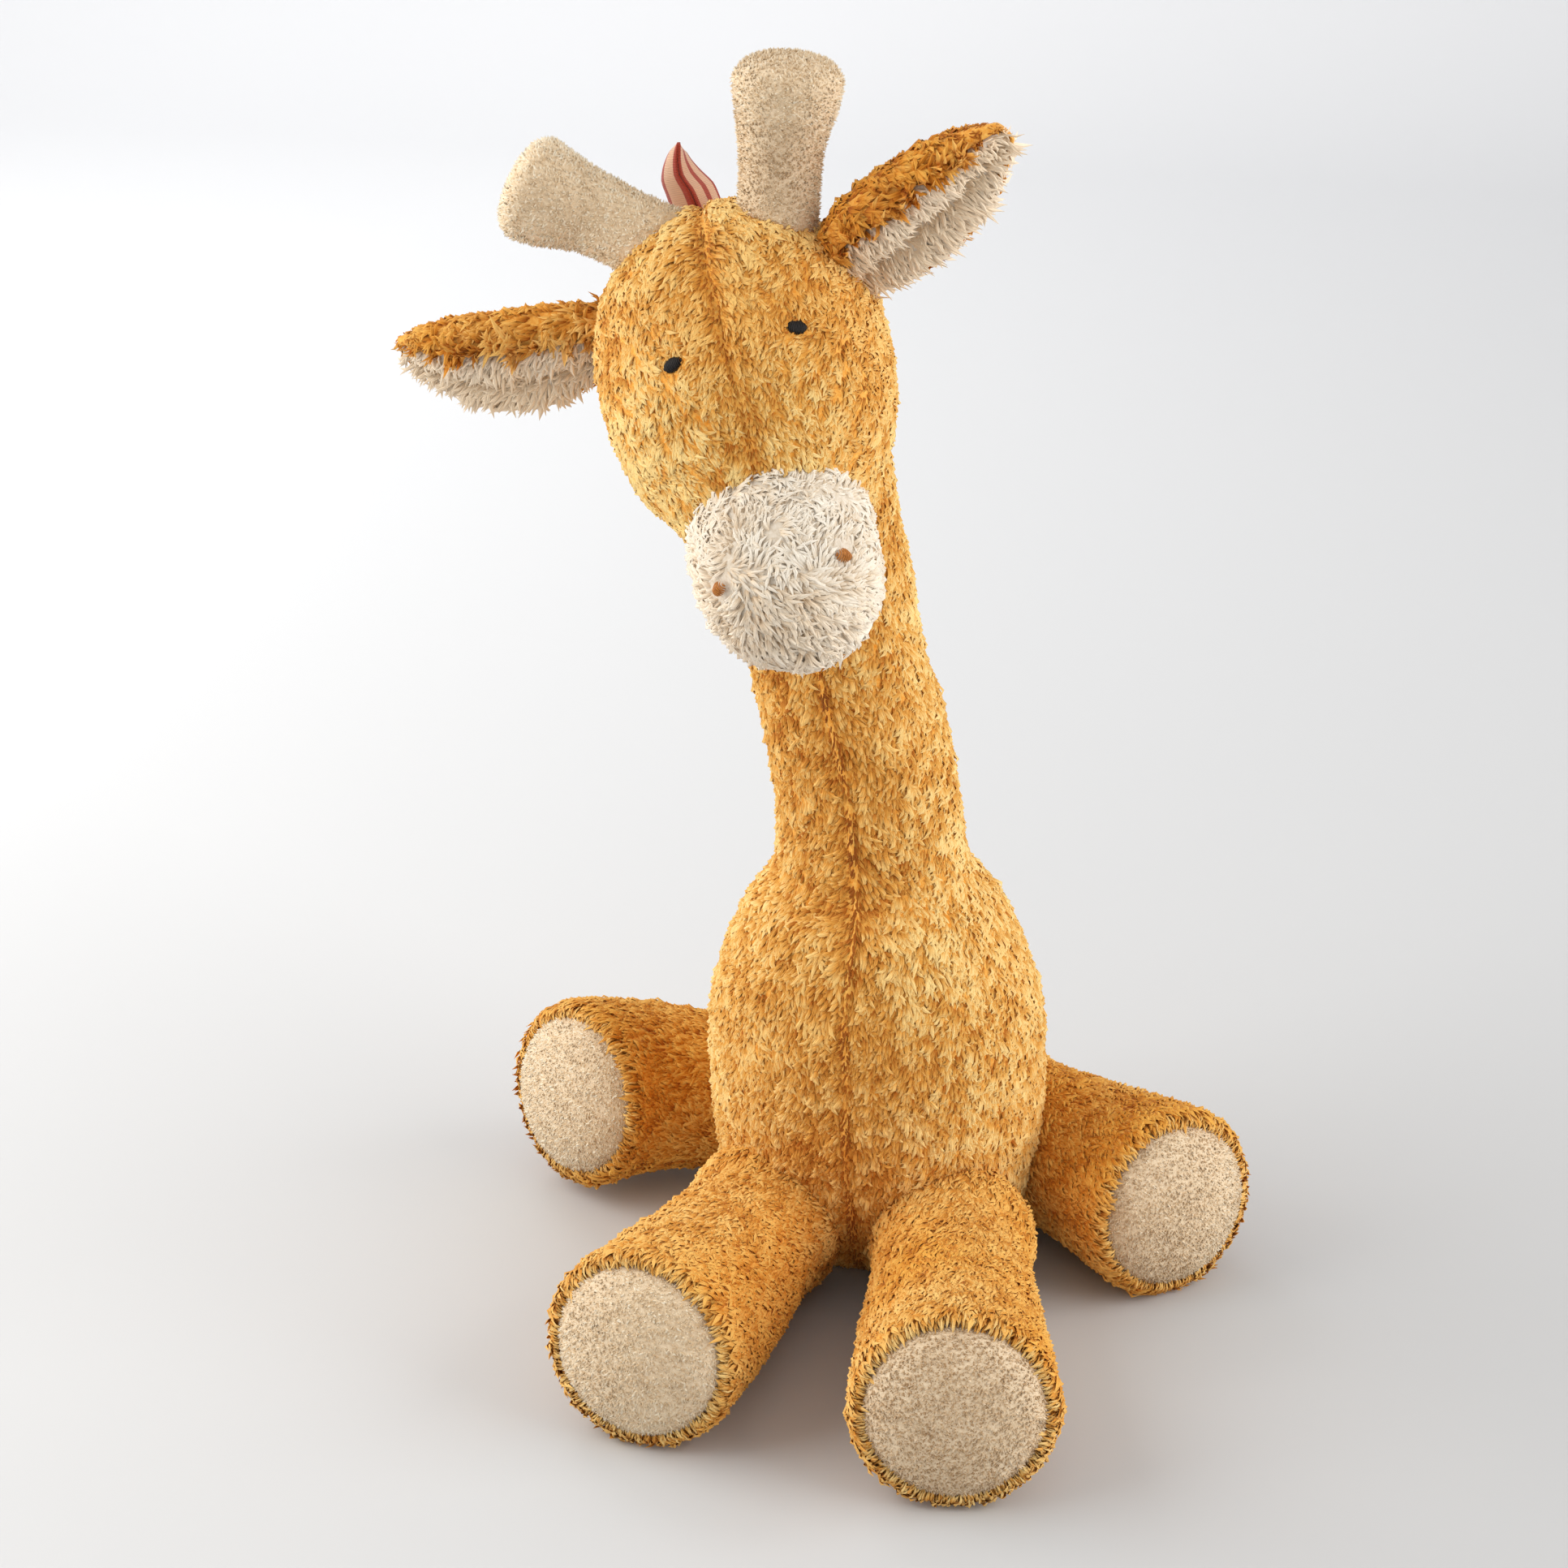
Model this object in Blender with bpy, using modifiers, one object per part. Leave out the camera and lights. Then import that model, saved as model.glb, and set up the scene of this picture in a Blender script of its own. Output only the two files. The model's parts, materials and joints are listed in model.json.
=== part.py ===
"""A plush giraffe that sits upright with its four legs spread. Metres, +Z up.

The front faces -Y, and left means -X. The origin is the middle of the flat
under the seat. The cloth covers are thin shells sewn from two panels, with
the stuffing as solids of their own inside them.
"""
import math

import bmesh
import bpy
from mathutils import Matrix, Vector

# Cloth and clearances
CLOTH_THICKNESS = 0.0016
GAP = 0.0003
SEAM_GAP = 0.0009
FILLING_GAP = 0.0006
SWEEP_CLEARANCE = 0.0004
CUT_OVERRUN_LENGTH = 0.02

# Torso, from the floor to the neck opening
TORSO_HEIGHT = 0.142
TORSO_HALF_WIDTH = 0.056
TORSO_BELLY_DEPTH = 0.058
TORSO_RUMP_DEPTH = 0.061
TORSO_SHIFT = (-0.001, -0.007)
SEAT_FLAT_DEPTH = 0.0005
# Height, width, belly, and how much of the shift applies, as shares of the sizes above
TORSO_SHARES = [
    (0.018, 0.66, 0.46, 0.0),
    (0.07, 0.80, 0.62, 0.0),
    (0.17, 0.915, 0.80, 0.0),
    (0.31, 0.98, 0.93, 0.05),
    (0.465, 1.0, 1.0, 0.20),
    (0.62, 0.985, 0.985, 0.50),
    (0.75, 0.925, 0.925, 0.75),
    (0.85, 0.84, 0.84, 0.90),
    (0.93, 0.735, 0.735, 1.0),
    (1.0, 0.62, 0.62, 1.0),
]
SEAT_SHARES = [0.42, 0.62]
SEAT_BELLY_SHARE = 0.65
FLOOR_REACH_SHARE = 4.0

# Neck, from its pivot in the torso to the head's pivot
NECK_PIVOT_HEIGHT = 0.131
NECK_LENGTH = 0.166
NECK_LEAN_DISTANCE = -0.026
NECK_BACK_DISTANCE = 0.006
NECK_TOP_FORWARD_DISTANCE = 0.007
NECK_RADIUS = 0.0300
NECK_BASE_BALL_RADIUS = 0.0340
NECK_TOP_BALL_RADIUS = 0.0290
# Height, lean, step back and radius along the neck, as shares. The top comes forward again.
NECK_SHARES = [
    (0.10, 0.04, 0.10, 1.05),
    (0.22, 0.12, 0.35, 1.0),
    (0.36, 0.30, 0.72, 1.0),
    (0.50, 0.54, 1.0, 0.96),
    (0.66, 0.73, 0.95, 0.94),
    (0.82, 0.87, 0.35, 0.94),
]
NECK_BEND = (-12.0, 12.0)

# Head: a round skull that tapers to the muzzle seam, then the muzzle
HEAD_CENTRE = (-0.0380, -0.0365, 0.3215)
HEAD_PITCH = 44.5
HEAD_ROLL = -16.0
HEAD_YAW = 11.0
HEAD_RADIUS = 0.0415
HEAD_SEAM_LENGTH = 0.0560
MUZZLE_RADIUS = 0.0268
MUZZLE_LENGTH = 0.0480
SKULL_BACK_STEPS = 5
SKULL_POLE_SHARE = 0.12
HEAD_FRONT_SHARES = [
    (0.0, 1.0),
    (0.18, 1.0),
    (0.36, 0.985),
    (0.55, 0.935),
    (0.73, 0.84),
    (0.88, 0.725),
    (1.0, 0.625),
]
MUZZLE_SHARES = [
    (0.14, 1.0),
    (0.38, 1.0),
    (0.60, 0.93),
    (0.79, 0.74),
    (0.92, 0.47),
    (1.0, 0.12),
]
HEAD_NOD = (-18.0, 6.0)

# Eyes and nostrils, thread patches stitched on the cloth
THREAD_DEPTH = 0.0008
THREAD_SEGMENTS = 10
THREAD_LAYERS = 4
EYE_HALF_LENGTH = 0.0029
EYE_HALF_WIDTH = 0.0022
EYES = {
    "left": {"ahead": 0.0218, "turn": -22.5},
    "right": {"ahead": 0.0195, "turn": 30.0},
}
NOSTRIL_HALF_LENGTH = 0.0021
NOSTRIL_HALF_WIDTH = 0.0016
NOSTRIL_SHARE = 0.60
NOSTRIL_RADIUS_SHARE = 0.95
NOSTRIL_TURN = 44.0
NOSTRIL_TILT = 22.0

# Horns, soft clubs on the crown
HORN_BASE_RADIUS = 0.0112
HORN_CLUB_RADIUS = 0.0150
HORN_SUNK_DEPTH = 0.010
HORNS = {
    "left": {"base": (-0.0687, -0.0345, 0.3530), "top": (-0.1070, -0.0355, 0.3700)},
    "right": {"base": (-0.0272, -0.0345, 0.3632), "top": (-0.0252, -0.0355, 0.4085)},
}
# Length share, and how far the radius has gone from the base's to the club's
HORN_SHARES = [
    (0.0, 0.0),
    (0.18, -0.12),
    (0.36, 0.0),
    (0.54, 0.40),
    (0.70, 0.80),
    (0.83, 1.0),
]
HORN_END_STEPS = 3
HORN_END_SHARE = 0.7

# Ears, leaves folded along their length
EAR_DEPTH = 0.0115
EAR_HALF_WIDTH = 0.0185
EAR_CLOTH_THICKNESS = 0.0022
EAR_GAP = 0.0012
EAR_OPEN_HALF_ANGLE = 52.0
EARS = {
    "left": {
        "root": (-0.0785, -0.0320, 0.3215),
        "tip": (-0.1430, -0.0390, 0.3165),
        "mouth": (0.10, -0.80, -0.60),
        "sag": 0.0060,
    },
    "right": {
        "root": (-0.0092, -0.0320, 0.3452),
        "tip": (0.0395, -0.0390, 0.3900),
        "mouth": (0.40, -0.80, -0.45),
        "sag": 0.0015,
    },
}
EAR_SHARES = [
    (0.0, 0.62),
    (0.10, 0.79),
    (0.25, 0.95),
    (0.42, 1.0),
    (0.60, 0.94),
    (0.76, 0.76),
    (0.90, 0.50),
    (1.0, 0.22),
]
EAR_HINGE_RINGS = 4
EAR_FLAP = (-20.0, 20.0)

# Legs: a ball root at the hip, a tube that swells to the foot, and a domed pad
HIP_BALL_RADIUS = 0.0252
LEG_ROOT_RADIUS = 0.0238
LEG_RIM_RADIUS = 0.0305
LEG_RIM_LIP_WIDTH = 0.0028
PAD_SEAM_GAP = 0.0007
PAD_RISE_HEIGHT = 0.0135
PAD_START_SHARE = 0.25
PAD_RINGS = 4
PAD_CROWN_SHARE = 0.125
LEG_LIFT = (-10.0, 28.0)
LEGS = {
    "front_left": {
        "hip": (-0.0305, -0.0425, 0.0270),
        "foot": (-0.0495, -0.1310, 0.0318),
        "turn": -12.0,
        "tilt": 8.0,
    },
    "front_right": {
        "hip": (0.0325, -0.0440, 0.0270),
        "foot": (0.0488, -0.1440, 0.0318),
        "turn": 10.0,
        "tilt": 8.0,
    },
    "rear_left": {
        "hip": (-0.0370, 0.0370, 0.0290),
        "foot": (-0.1062, 0.0135, 0.0372),
        "turn": -35.0,
        "tilt": 10.0,
    },
    "rear_right": {
        "hip": (0.0370, 0.0370, 0.0300),
        "foot": (0.0988, -0.0110, 0.0318),
        "turn": 43.0,
        "tilt": 6.0,
    },
}
# Length share, and how far the radius has gone from the root's to the rim's
LEG_SHARES = [
    (0.18, 0.0),
    (0.36, 0.25),
    (0.56, 0.52),
    (0.78, 0.78),
    (0.93, 0.95),
    (1.0, 1.0),
]
LEG_BEND_SHARE = 0.45

# Ribbon loop behind the crown
RIBBON_WIDTH = 0.0130
RIBBON_THICKNESS = 0.0008
RIBBON_HEIGHT = 0.0215
RIBBON_BASE = (-0.0572, -0.0160, 0.3563)
RIBBON_TURN = -52.0
RIBBON_LEAN = -12.0
RIBBON_BEND_RADIUS = 0.0022
RIBBON_BEND_STEPS = 4

# Facets
TORSO_SIDES = 20
NECK_SIDES = 12
HEAD_SIDES = 16
LEG_SIDES = 12
HORN_SIDES = 10
EAR_SIDES = 8
BALL_STEPS = 3
SWEEP_RINGS_PAST_BALL = 5
POLE_SHARE = 0.35
SWEEP_STEPS = 3

COLORS = {
    "plush": (0.66, 0.37, 0.10),
    "cream": (0.82, 0.76, 0.65),
    "velour": (0.66, 0.54, 0.40),
    "filling": (0.90, 0.90, 0.88),
    "eye_thread": (0.02, 0.02, 0.02),
    "nostril_thread": (0.38, 0.13, 0.03),
    "ribbon": (0.70, 0.22, 0.12),
}


def clear_scene():
    for item in list(bpy.data.objects):
        bpy.data.objects.remove(item, do_unlink=True)


def make_collection(name):
    group = bpy.data.collections.new(name)
    bpy.context.scene.collection.children.link(group)
    return group


def make_material(name):
    material = bpy.data.materials.new(name)
    material.use_nodes = True
    shader = material.node_tree.nodes["Principled BSDF"]
    shader.inputs["Base Color"].default_value = (*COLORS[name], 1.0)
    shader.inputs["Roughness"].default_value = 0.9
    shader.inputs["Metallic"].default_value = 0.0
    material.diffuse_color = (*COLORS[name], 1.0)
    return material


def ring(centre, side, front, half_width, ahead, behind, start, end, count, closed):
    """Points of one cross-section, from start to end degrees; 90 degrees points to the front."""
    steps = count if closed else count - 1
    points = []
    for i in range(count):
        angle = math.radians(start + (end - start) * i / steps)
        depth = ahead if math.sin(angle) > 0 else behind
        points.append(centre + side * (half_width * math.cos(angle)) + front * (depth * math.sin(angle)))
    return points


def skin(rings, closed, cap_first=False, cap_last=False):
    """A mesh through the rings, with its faces pointing out. Caps are flat."""
    bm = bmesh.new()
    rows = [[bm.verts.new(p) for p in points] for points in rings]
    outward = 0.0
    for low, high in zip(rows, rows[1:]):
        middle = sum((v.co for v in low + high), Vector()) / (len(low) * 2)
        count = len(low)
        for j in range(count if closed else count - 1):
            k = (j + 1) % count
            face = bm.faces.new((low[j], high[j], high[k], low[k]))
            face.normal_update()
            outward += face.normal.dot(face.calc_center_median() - middle)
    if cap_first:
        bm.faces.new(rows[0])
    if cap_last:
        bm.faces.new(list(reversed(rows[-1])))
    if outward < 0:
        bmesh.ops.reverse_faces(bm, faces=bm.faces)
    mesh = bpy.data.meshes.new("skin")
    bm.to_mesh(mesh)
    bm.free()
    return mesh


def closed_solid(rings):
    """A closed solid through the rings, all faces turned outwards."""
    mesh = skin(rings, True, True, True)
    bm = bmesh.new()
    bm.from_mesh(mesh)
    bmesh.ops.recalc_face_normals(bm, faces=bm.faces)
    bm.to_mesh(mesh)
    bm.free()
    return mesh


def add_node(name, mesh, material, origin, group):
    """An object whose mesh is given in world places, with its origin where asked."""
    mesh.name = name
    origin = Vector(origin)
    mesh.transform(Matrix.Translation(-origin))
    node = bpy.data.objects.new(name, mesh)
    node.location = origin
    if material is not None:
        mesh.materials.append(material)
    group.objects.link(node)
    mesh.shade_smooth()
    return node


def thicken(node, thickness):
    solidify = node.modifiers.new("cloth", "SOLIDIFY")
    solidify.thickness = thickness
    solidify.offset = -1.0
    solidify.use_even_offset = False


def cut(node, cutter):
    boolean = node.modifiers.new("cut by " + cutter.name, "BOOLEAN")
    boolean.operation = "DIFFERENCE"
    boolean.solver = "EXACT"
    boolean.object = cutter


def add_cutter(name, mesh, group):
    cutter = add_node(name, mesh, None, (0.0, 0.0, 0.0), group)
    cutter.hide_render = True
    cutter.display_type = "WIRE"
    return cutter


def hull_mesh(points):
    """The convex hull of some points."""
    bm = bmesh.new()
    for point in points:
        bm.verts.new(point)
    result = bmesh.ops.convex_hull(bm, input=bm.verts)
    unused = [g for g in result["geom_interior"] + result["geom_unused"] if isinstance(g, bmesh.types.BMVert)]
    bmesh.ops.delete(bm, geom=list(set(unused)), context="VERTS")
    bmesh.ops.recalc_face_normals(bm, faces=bm.faces)
    mesh = bpy.data.meshes.new("hull")
    bm.to_mesh(mesh)
    bm.free()
    return mesh


def sweep_mesh(rings, pivot, axis, low, high):
    """The room that some rings sweep as they turn about an axis, in degrees."""
    points = []
    for i in range(SWEEP_STEPS + 1):
        angle = math.radians(low + (high - low) * i / SWEEP_STEPS)
        turn = Matrix.Rotation(angle, 3, axis)
        points += [pivot + turn @ (p - pivot) for row in rings for p in row]
    return hull_mesh(points)


def ball_steps(radius):
    """Stations and radii over the back half of a ball, from near its pole to near its equator."""
    steps = []
    for i in range(BALL_STEPS):
        angle = math.radians(90.0 * (i + POLE_SHARE) / BALL_STEPS)
        steps.append((-radius * math.cos(angle), radius * math.sin(angle)))
    return steps


def curve_frames(points, first_front):
    """The tangent, side and front at each point of a path, turning as little as the path allows."""
    frames = []
    front = Vector(first_front)
    for i, point in enumerate(points):
        before = points[max(i - 1, 0)]
        after = points[min(i + 1, len(points) - 1)]
        tangent = (after - before).normalized()
        front = (front - tangent * front.dot(tangent)).normalized()
        frames.append((tangent, front.cross(tangent), front.copy()))
    return frames


def path_rings(points, radii, first_front, sides):
    rings = []
    for point, radius, frame in zip(points, radii, curve_frames(points, first_front)):
        rings.append(ring(point, frame[1], frame[2], radius, radius, radius, 0.0, 360.0, sides, True))
    return rings


def seam_angle(radius):
    """The turn that leaves half of the seam's gap at this radius."""
    return math.degrees(math.asin(min(SEAM_GAP / 2 / max(radius, SEAM_GAP), 1.0)))


def torso_rings(grow, start, end, closed):
    sides = TORSO_SIDES if closed else TORSO_SIDES // 2 + 1
    rings = []
    for height, width, belly, shift in TORSO_SHARES:
        level = TORSO_HEIGHT * height - grow * (1 - 2 * height)
        centre = Vector((TORSO_SHIFT[0] * shift, TORSO_SHIFT[1] * shift, level))
        half = TORSO_HALF_WIDTH * width + grow
        ahead = TORSO_BELLY_DEPTH * belly + grow
        behind = TORSO_RUMP_DEPTH * width + grow
        inset = 0.0 if closed else seam_angle(half)
        rings.append(ring(centre, Vector((1, 0, 0)), Vector((0, -1, 0)), half, ahead, behind,
                          start + inset, end - inset, sides, closed))
    return rings


def seat_ring(share, height, grow=0.0):
    half = TORSO_HALF_WIDTH * share + grow
    ahead = TORSO_BELLY_DEPTH * share * SEAT_BELLY_SHARE + grow
    behind = TORSO_RUMP_DEPTH * share + grow
    return ring(Vector((0, 0, height)), Vector((1, 0, 0)), Vector((0, -1, 0)), half, ahead, behind,
                0.0, 360.0, TORSO_SIDES, True)


def neck_path(grow=0.0):
    """Points and radii of the neck, from the pole of its base ball to the pole of its top ball."""
    base = Vector((TORSO_SHIFT[0], TORSO_SHIFT[1], NECK_PIVOT_HEIGHT))
    top = base + Vector((NECK_LEAN_DISTANCE, -NECK_TOP_FORWARD_DISTANCE, NECK_LENGTH))
    points = []
    radii = []
    for station, radius in ball_steps(NECK_BASE_BALL_RADIUS + grow):
        points.append(base + Vector((0, 0, station)))
        radii.append(radius)
    points.append(base)
    radii.append(NECK_BASE_BALL_RADIUS + grow)
    for height, lean, back, radius in NECK_SHARES:
        step = Vector((NECK_LEAN_DISTANCE * lean, NECK_BACK_DISTANCE * back, NECK_LENGTH * height))
        points.append(base + step)
        radii.append(NECK_RADIUS * radius + grow)
    points.append(top)
    radii.append(NECK_TOP_BALL_RADIUS + grow)
    for station, radius in reversed(ball_steps(NECK_TOP_BALL_RADIUS + grow)):
        points.append(top - Vector((0, 0, station)))
        radii.append(radius)
    return base, top, points, radii


def head_radius(ahead):
    """The head's radius at some distance ahead of the skull's centre."""
    for low, high in zip(HEAD_FRONT_SHARES, HEAD_FRONT_SHARES[1:]):
        first = HEAD_SEAM_LENGTH * low[0]
        last = HEAD_SEAM_LENGTH * high[0]
        if first <= ahead <= last:
            share = (ahead - first) / (last - first)
            return HEAD_RADIUS * (low[1] + (high[1] - low[1]) * share)
    return HEAD_RADIUS


def facet_share(turn):
    """How far a flat facet of the head lies inside its round section, at some degrees from the top."""
    step = 360.0 / HEAD_SIDES
    offset = (turn % step) - step / 2
    return math.cos(math.radians(step / 2)) / math.cos(math.radians(offset))


def head_matrix():
    turn = Matrix.Rotation(math.radians(HEAD_YAW), 4, "Z")
    turn = turn @ Matrix.Rotation(math.radians(HEAD_ROLL), 4, "Y")
    turn = turn @ Matrix.Rotation(math.radians(HEAD_PITCH), 4, "X")
    return Matrix.Translation(HEAD_CENTRE) @ turn


def head_stations(grow=0.0):
    """Distance ahead of the skull's centre and radius, from the back of the skull to the muzzle seam."""
    stations = []
    ball = HEAD_RADIUS + grow
    for i in range(SKULL_BACK_STEPS):
        angle = math.radians(90.0 * (i + SKULL_POLE_SHARE) / SKULL_BACK_STEPS)
        stations.append((-ball * math.cos(angle), ball * math.sin(angle)))
    for ahead, radius in HEAD_FRONT_SHARES:
        stations.append((HEAD_SEAM_LENGTH * ahead, HEAD_RADIUS * radius + grow))
    return stations


def muzzle_stations(grow=0.0):
    """The muzzle starts with the head's own opening at the seam."""
    first = HEAD_SEAM_LENGTH + GAP
    stations = [(first, HEAD_RADIUS * HEAD_FRONT_SHARES[-1][1] + grow)]
    for ahead, radius in MUZZLE_SHARES:
        stations.append((first + (MUZZLE_LENGTH + grow) * ahead, MUZZLE_RADIUS * radius + grow))
    return stations


def head_rings(stations, start, end, closed, sides):
    place = head_matrix()
    rings = []
    for ahead, radius in stations:
        r = max(radius, GAP)
        inset = 0.0 if closed else seam_angle(r)
        count = sides if closed else sides // 2 + 1
        points = ring(Vector((0, -ahead, 0)), Vector((1, 0, 0)), Vector((0, 0, 1)), r, r, r,
                      start + inset, end - inset, count, closed)
        rings.append([place @ p for p in points])
    return rings


def lens(half_length, half_width, depth):
    """A thin pad with its flat side down, its length along X."""
    bm = bmesh.new()
    bmesh.ops.create_uvsphere(bm, u_segments=THREAD_SEGMENTS, v_segments=THREAD_LAYERS, radius=1.0)
    bmesh.ops.scale(bm, vec=(half_length, half_width, depth), verts=bm.verts)
    mesh = bpy.data.meshes.new("lens")
    bm.to_mesh(mesh)
    bm.free()
    return mesh


def head_patch(ahead, radius, turn, tilt, half_length, half_width):
    """A thread patch on the head, turned sideways from the top and tilted ahead by so many degrees."""
    angle = math.radians(turn)
    normal = Vector((math.sin(angle), 0, math.cos(angle)))
    lift = radius + THREAD_DEPTH + GAP
    spot = Matrix.Translation(Vector((0, -ahead, 0)) + normal * lift)
    face = Matrix.Rotation(angle, 4, "Y") @ Matrix.Rotation(math.radians(tilt), 4, "X")
    mesh = lens(half_length, half_width, THREAD_DEPTH)
    mesh.transform(head_matrix() @ spot @ face)
    return mesh


def horn_path(horn):
    base = Vector(horn["base"])
    top = Vector(horn["top"])
    direction = (top - base).normalized()
    length = (top - base).length
    points = [base - direction * HORN_SUNK_DEPTH]
    radii = [HORN_BASE_RADIUS]
    for share, swell in HORN_SHARES:
        points.append(base + direction * (length * share))
        radii.append(HORN_BASE_RADIUS + (HORN_CLUB_RADIUS - HORN_BASE_RADIUS) * swell)
    last = HORN_SHARES[-1][0]
    for i in range(HORN_END_STEPS):
        angle = math.radians(90.0 * (i + HORN_END_SHARE) / HORN_END_STEPS)
        points.append(base + direction * (length * (last + (1.0 - last) * math.sin(angle))))
        radii.append(HORN_CLUB_RADIUS * math.cos(angle))
    return points, radii


def ear_rings(ear, grow):
    """Cross-sections of a folded ear, open towards its mouth."""
    root = Vector(ear["root"])
    along = Vector(ear["tip"]) - root
    direction = along.normalized()
    mouth = Vector(ear["mouth"])
    mouth = (mouth - direction * mouth.dot(direction)).normalized()
    across = direction.cross(mouth)
    rings = []
    for share, width in EAR_SHARES:
        spread = max(EAR_HALF_WIDTH * width + grow, GAP)
        depth = max(EAR_DEPTH * width + grow, GAP)
        centre = root + along * share - Vector((0, 0, ear["sag"] * 4 * share * (1 - share)))
        rings.append(ring(centre, across, mouth, spread, depth, depth,
                          90.0 + EAR_OPEN_HALF_ANGLE, 450.0 - EAR_OPEN_HALF_ANGLE, EAR_SIDES + 1, False))
    return rings


def leg_path(leg, grow=0.0):
    """Points and radii of a leg, from the pole of its hip ball to the rim round the pad."""
    hip = Vector(leg["hip"])
    foot = Vector(leg["foot"])
    turn = math.radians(leg["turn"])
    tilt = math.radians(leg["tilt"])
    facing = Vector((math.sin(turn) * math.cos(tilt), -math.cos(turn) * math.cos(tilt), math.sin(tilt)))
    bend = foot - facing * ((foot - hip).length * LEG_BEND_SHARE)
    first = (bend - hip).normalized()
    points = []
    radii = []
    for station, radius in ball_steps(HIP_BALL_RADIUS + grow):
        points.append(hip + first * station)
        radii.append(radius)
    points.append(hip)
    radii.append(HIP_BALL_RADIUS + grow)
    for share, swell in LEG_SHARES:
        points.append(hip * (1 - share) ** 2 + bend * (2 * share * (1 - share)) + foot * share ** 2)
        radii.append(LEG_ROOT_RADIUS + (LEG_RIM_RADIUS - LEG_ROOT_RADIUS) * swell + grow)
    return points, radii, facing


def pad_rings(foot, facing, side, front, grow=0.0):
    """The dome of a foot pad, from its seam in the rim to its crown."""
    radius = LEG_RIM_RADIUS - LEG_RIM_LIP_WIDTH - PAD_SEAM_GAP + grow
    start = LEG_RIM_LIP_WIDTH * PAD_START_SHARE
    rings = []
    for i in range(PAD_RINGS):
        angle = math.radians(90.0 * i / PAD_RINGS)
        r = radius * math.cos(angle)
        centre = foot + facing * (start + (PAD_RISE_HEIGHT + grow) * math.sin(angle))
        rings.append(ring(centre, side, front, r, r, r, 0.0, 360.0, LEG_SIDES, True))
    crown = radius * PAD_CROWN_SHARE
    top = foot + facing * (start + PAD_RISE_HEIGHT + grow)
    rings.append(ring(top, side, front, crown, crown, crown, 0.0, 360.0, LEG_SIDES, True))
    return rings


def leg_axis(leg):
    """The level axis that a leg lifts about: positive turns raise the foot."""
    along = Vector(leg["foot"]) - Vector(leg["hip"])
    return along.cross(Vector((0, 0, 1))).normalized()


def add_torso(group, cutters, materials, sweeps):
    """Two torso panels, the seat panel under them, and the stuffing."""
    floor = bpy.data.meshes.new("floor")
    bm = bmesh.new()
    bmesh.ops.create_cube(bm, size=1.0)
    reach = TORSO_RUMP_DEPTH * FLOOR_REACH_SHARE
    bmesh.ops.scale(bm, vec=(reach, reach, CUT_OVERRUN_LENGTH), verts=bm.verts)
    bmesh.ops.translate(bm, vec=(0.0, 0.0, -CUT_OVERRUN_LENGTH / 2), verts=bm.verts)
    bm.to_mesh(floor)
    bm.free()
    floor_cutter = add_cutter("floor_cutter", floor, cutters)

    for side, start, end in (("right", -90.0, 90.0), ("left", 90.0, 270.0)):
        panel = add_node("torso_panel_" + side, skin(torso_rings(0.0, start, end, False), False),
                         materials["plush"], (0, 0, 0), group)
        thicken(panel, CLOTH_THICKNESS)
        for sweep in sweeps:
            cut(panel, sweep)

    rise = SEAT_FLAT_DEPTH * 2
    seat = [
        seat_ring(SEAT_SHARES[0], -SEAT_FLAT_DEPTH),
        seat_ring(SEAT_SHARES[1], rise),
        seat_ring(SEAT_SHARES[1], rise + CLOTH_THICKNESS),
        seat_ring(SEAT_SHARES[0], CLOTH_THICKNESS),
    ]
    base = add_node("seat_panel", closed_solid(seat), materials["plush"], (0, 0, 0), group)
    cut(base, floor_cutter)

    inset = -CLOTH_THICKNESS - FILLING_GAP
    rings = torso_rings(inset, 0.0, 360.0, True)
    rings[0] = seat_ring(SEAT_SHARES[1], rise + CLOTH_THICKNESS + FILLING_GAP, inset)
    filling = add_node("torso_stuffing", closed_solid(rings), materials["filling"], (0, 0, 0), group)
    for sweep in sweeps:
        cut(filling, sweep)


def add_neck(group, cutters, materials):
    base, top, points, radii = neck_path()
    front = (0, -1, 0)
    for side in ("right", "left"):
        rings = []
        for point, radius, frame in zip(points, radii, curve_frames(points, front)):
            inset = seam_angle(radius)
            low, high = (90.0 + inset, 270.0 - inset) if side == "right" else (-90.0 + inset, 90.0 - inset)
            rings.append(ring(point, frame[1], frame[2], radius, radius, radius, low, high,
                              NECK_SIDES // 2 + 1, False))
        mesh = skin(rings[1:-1], False)
        panel = add_node("neck_panel_" + side, mesh, materials["plush"], base, group)
        thicken(panel, CLOTH_THICKNESS)
    inner = path_rings(*neck_path(-CLOTH_THICKNESS - FILLING_GAP)[2:], front, NECK_SIDES)
    add_node("neck_stuffing", closed_solid(inner), materials["filling"], base, group)
    swept = path_rings(*neck_path(SWEEP_CLEARANCE)[2:], front, NECK_SIDES)
    low_part = swept[:BALL_STEPS + SWEEP_RINGS_PAST_BALL]
    high_part = swept[-BALL_STEPS - SWEEP_RINGS_PAST_BALL:]
    across = Vector((1, 0, 0))
    torso_sweep = add_cutter("neck_sweep", sweep_mesh(low_part, base, across, *NECK_BEND), cutters)
    nod = sweep_mesh(high_part, top, across, -HEAD_NOD[1], -HEAD_NOD[0])
    head_sweep = add_cutter("head_sweep", nod, cutters)
    return base, top, torso_sweep, head_sweep


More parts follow.
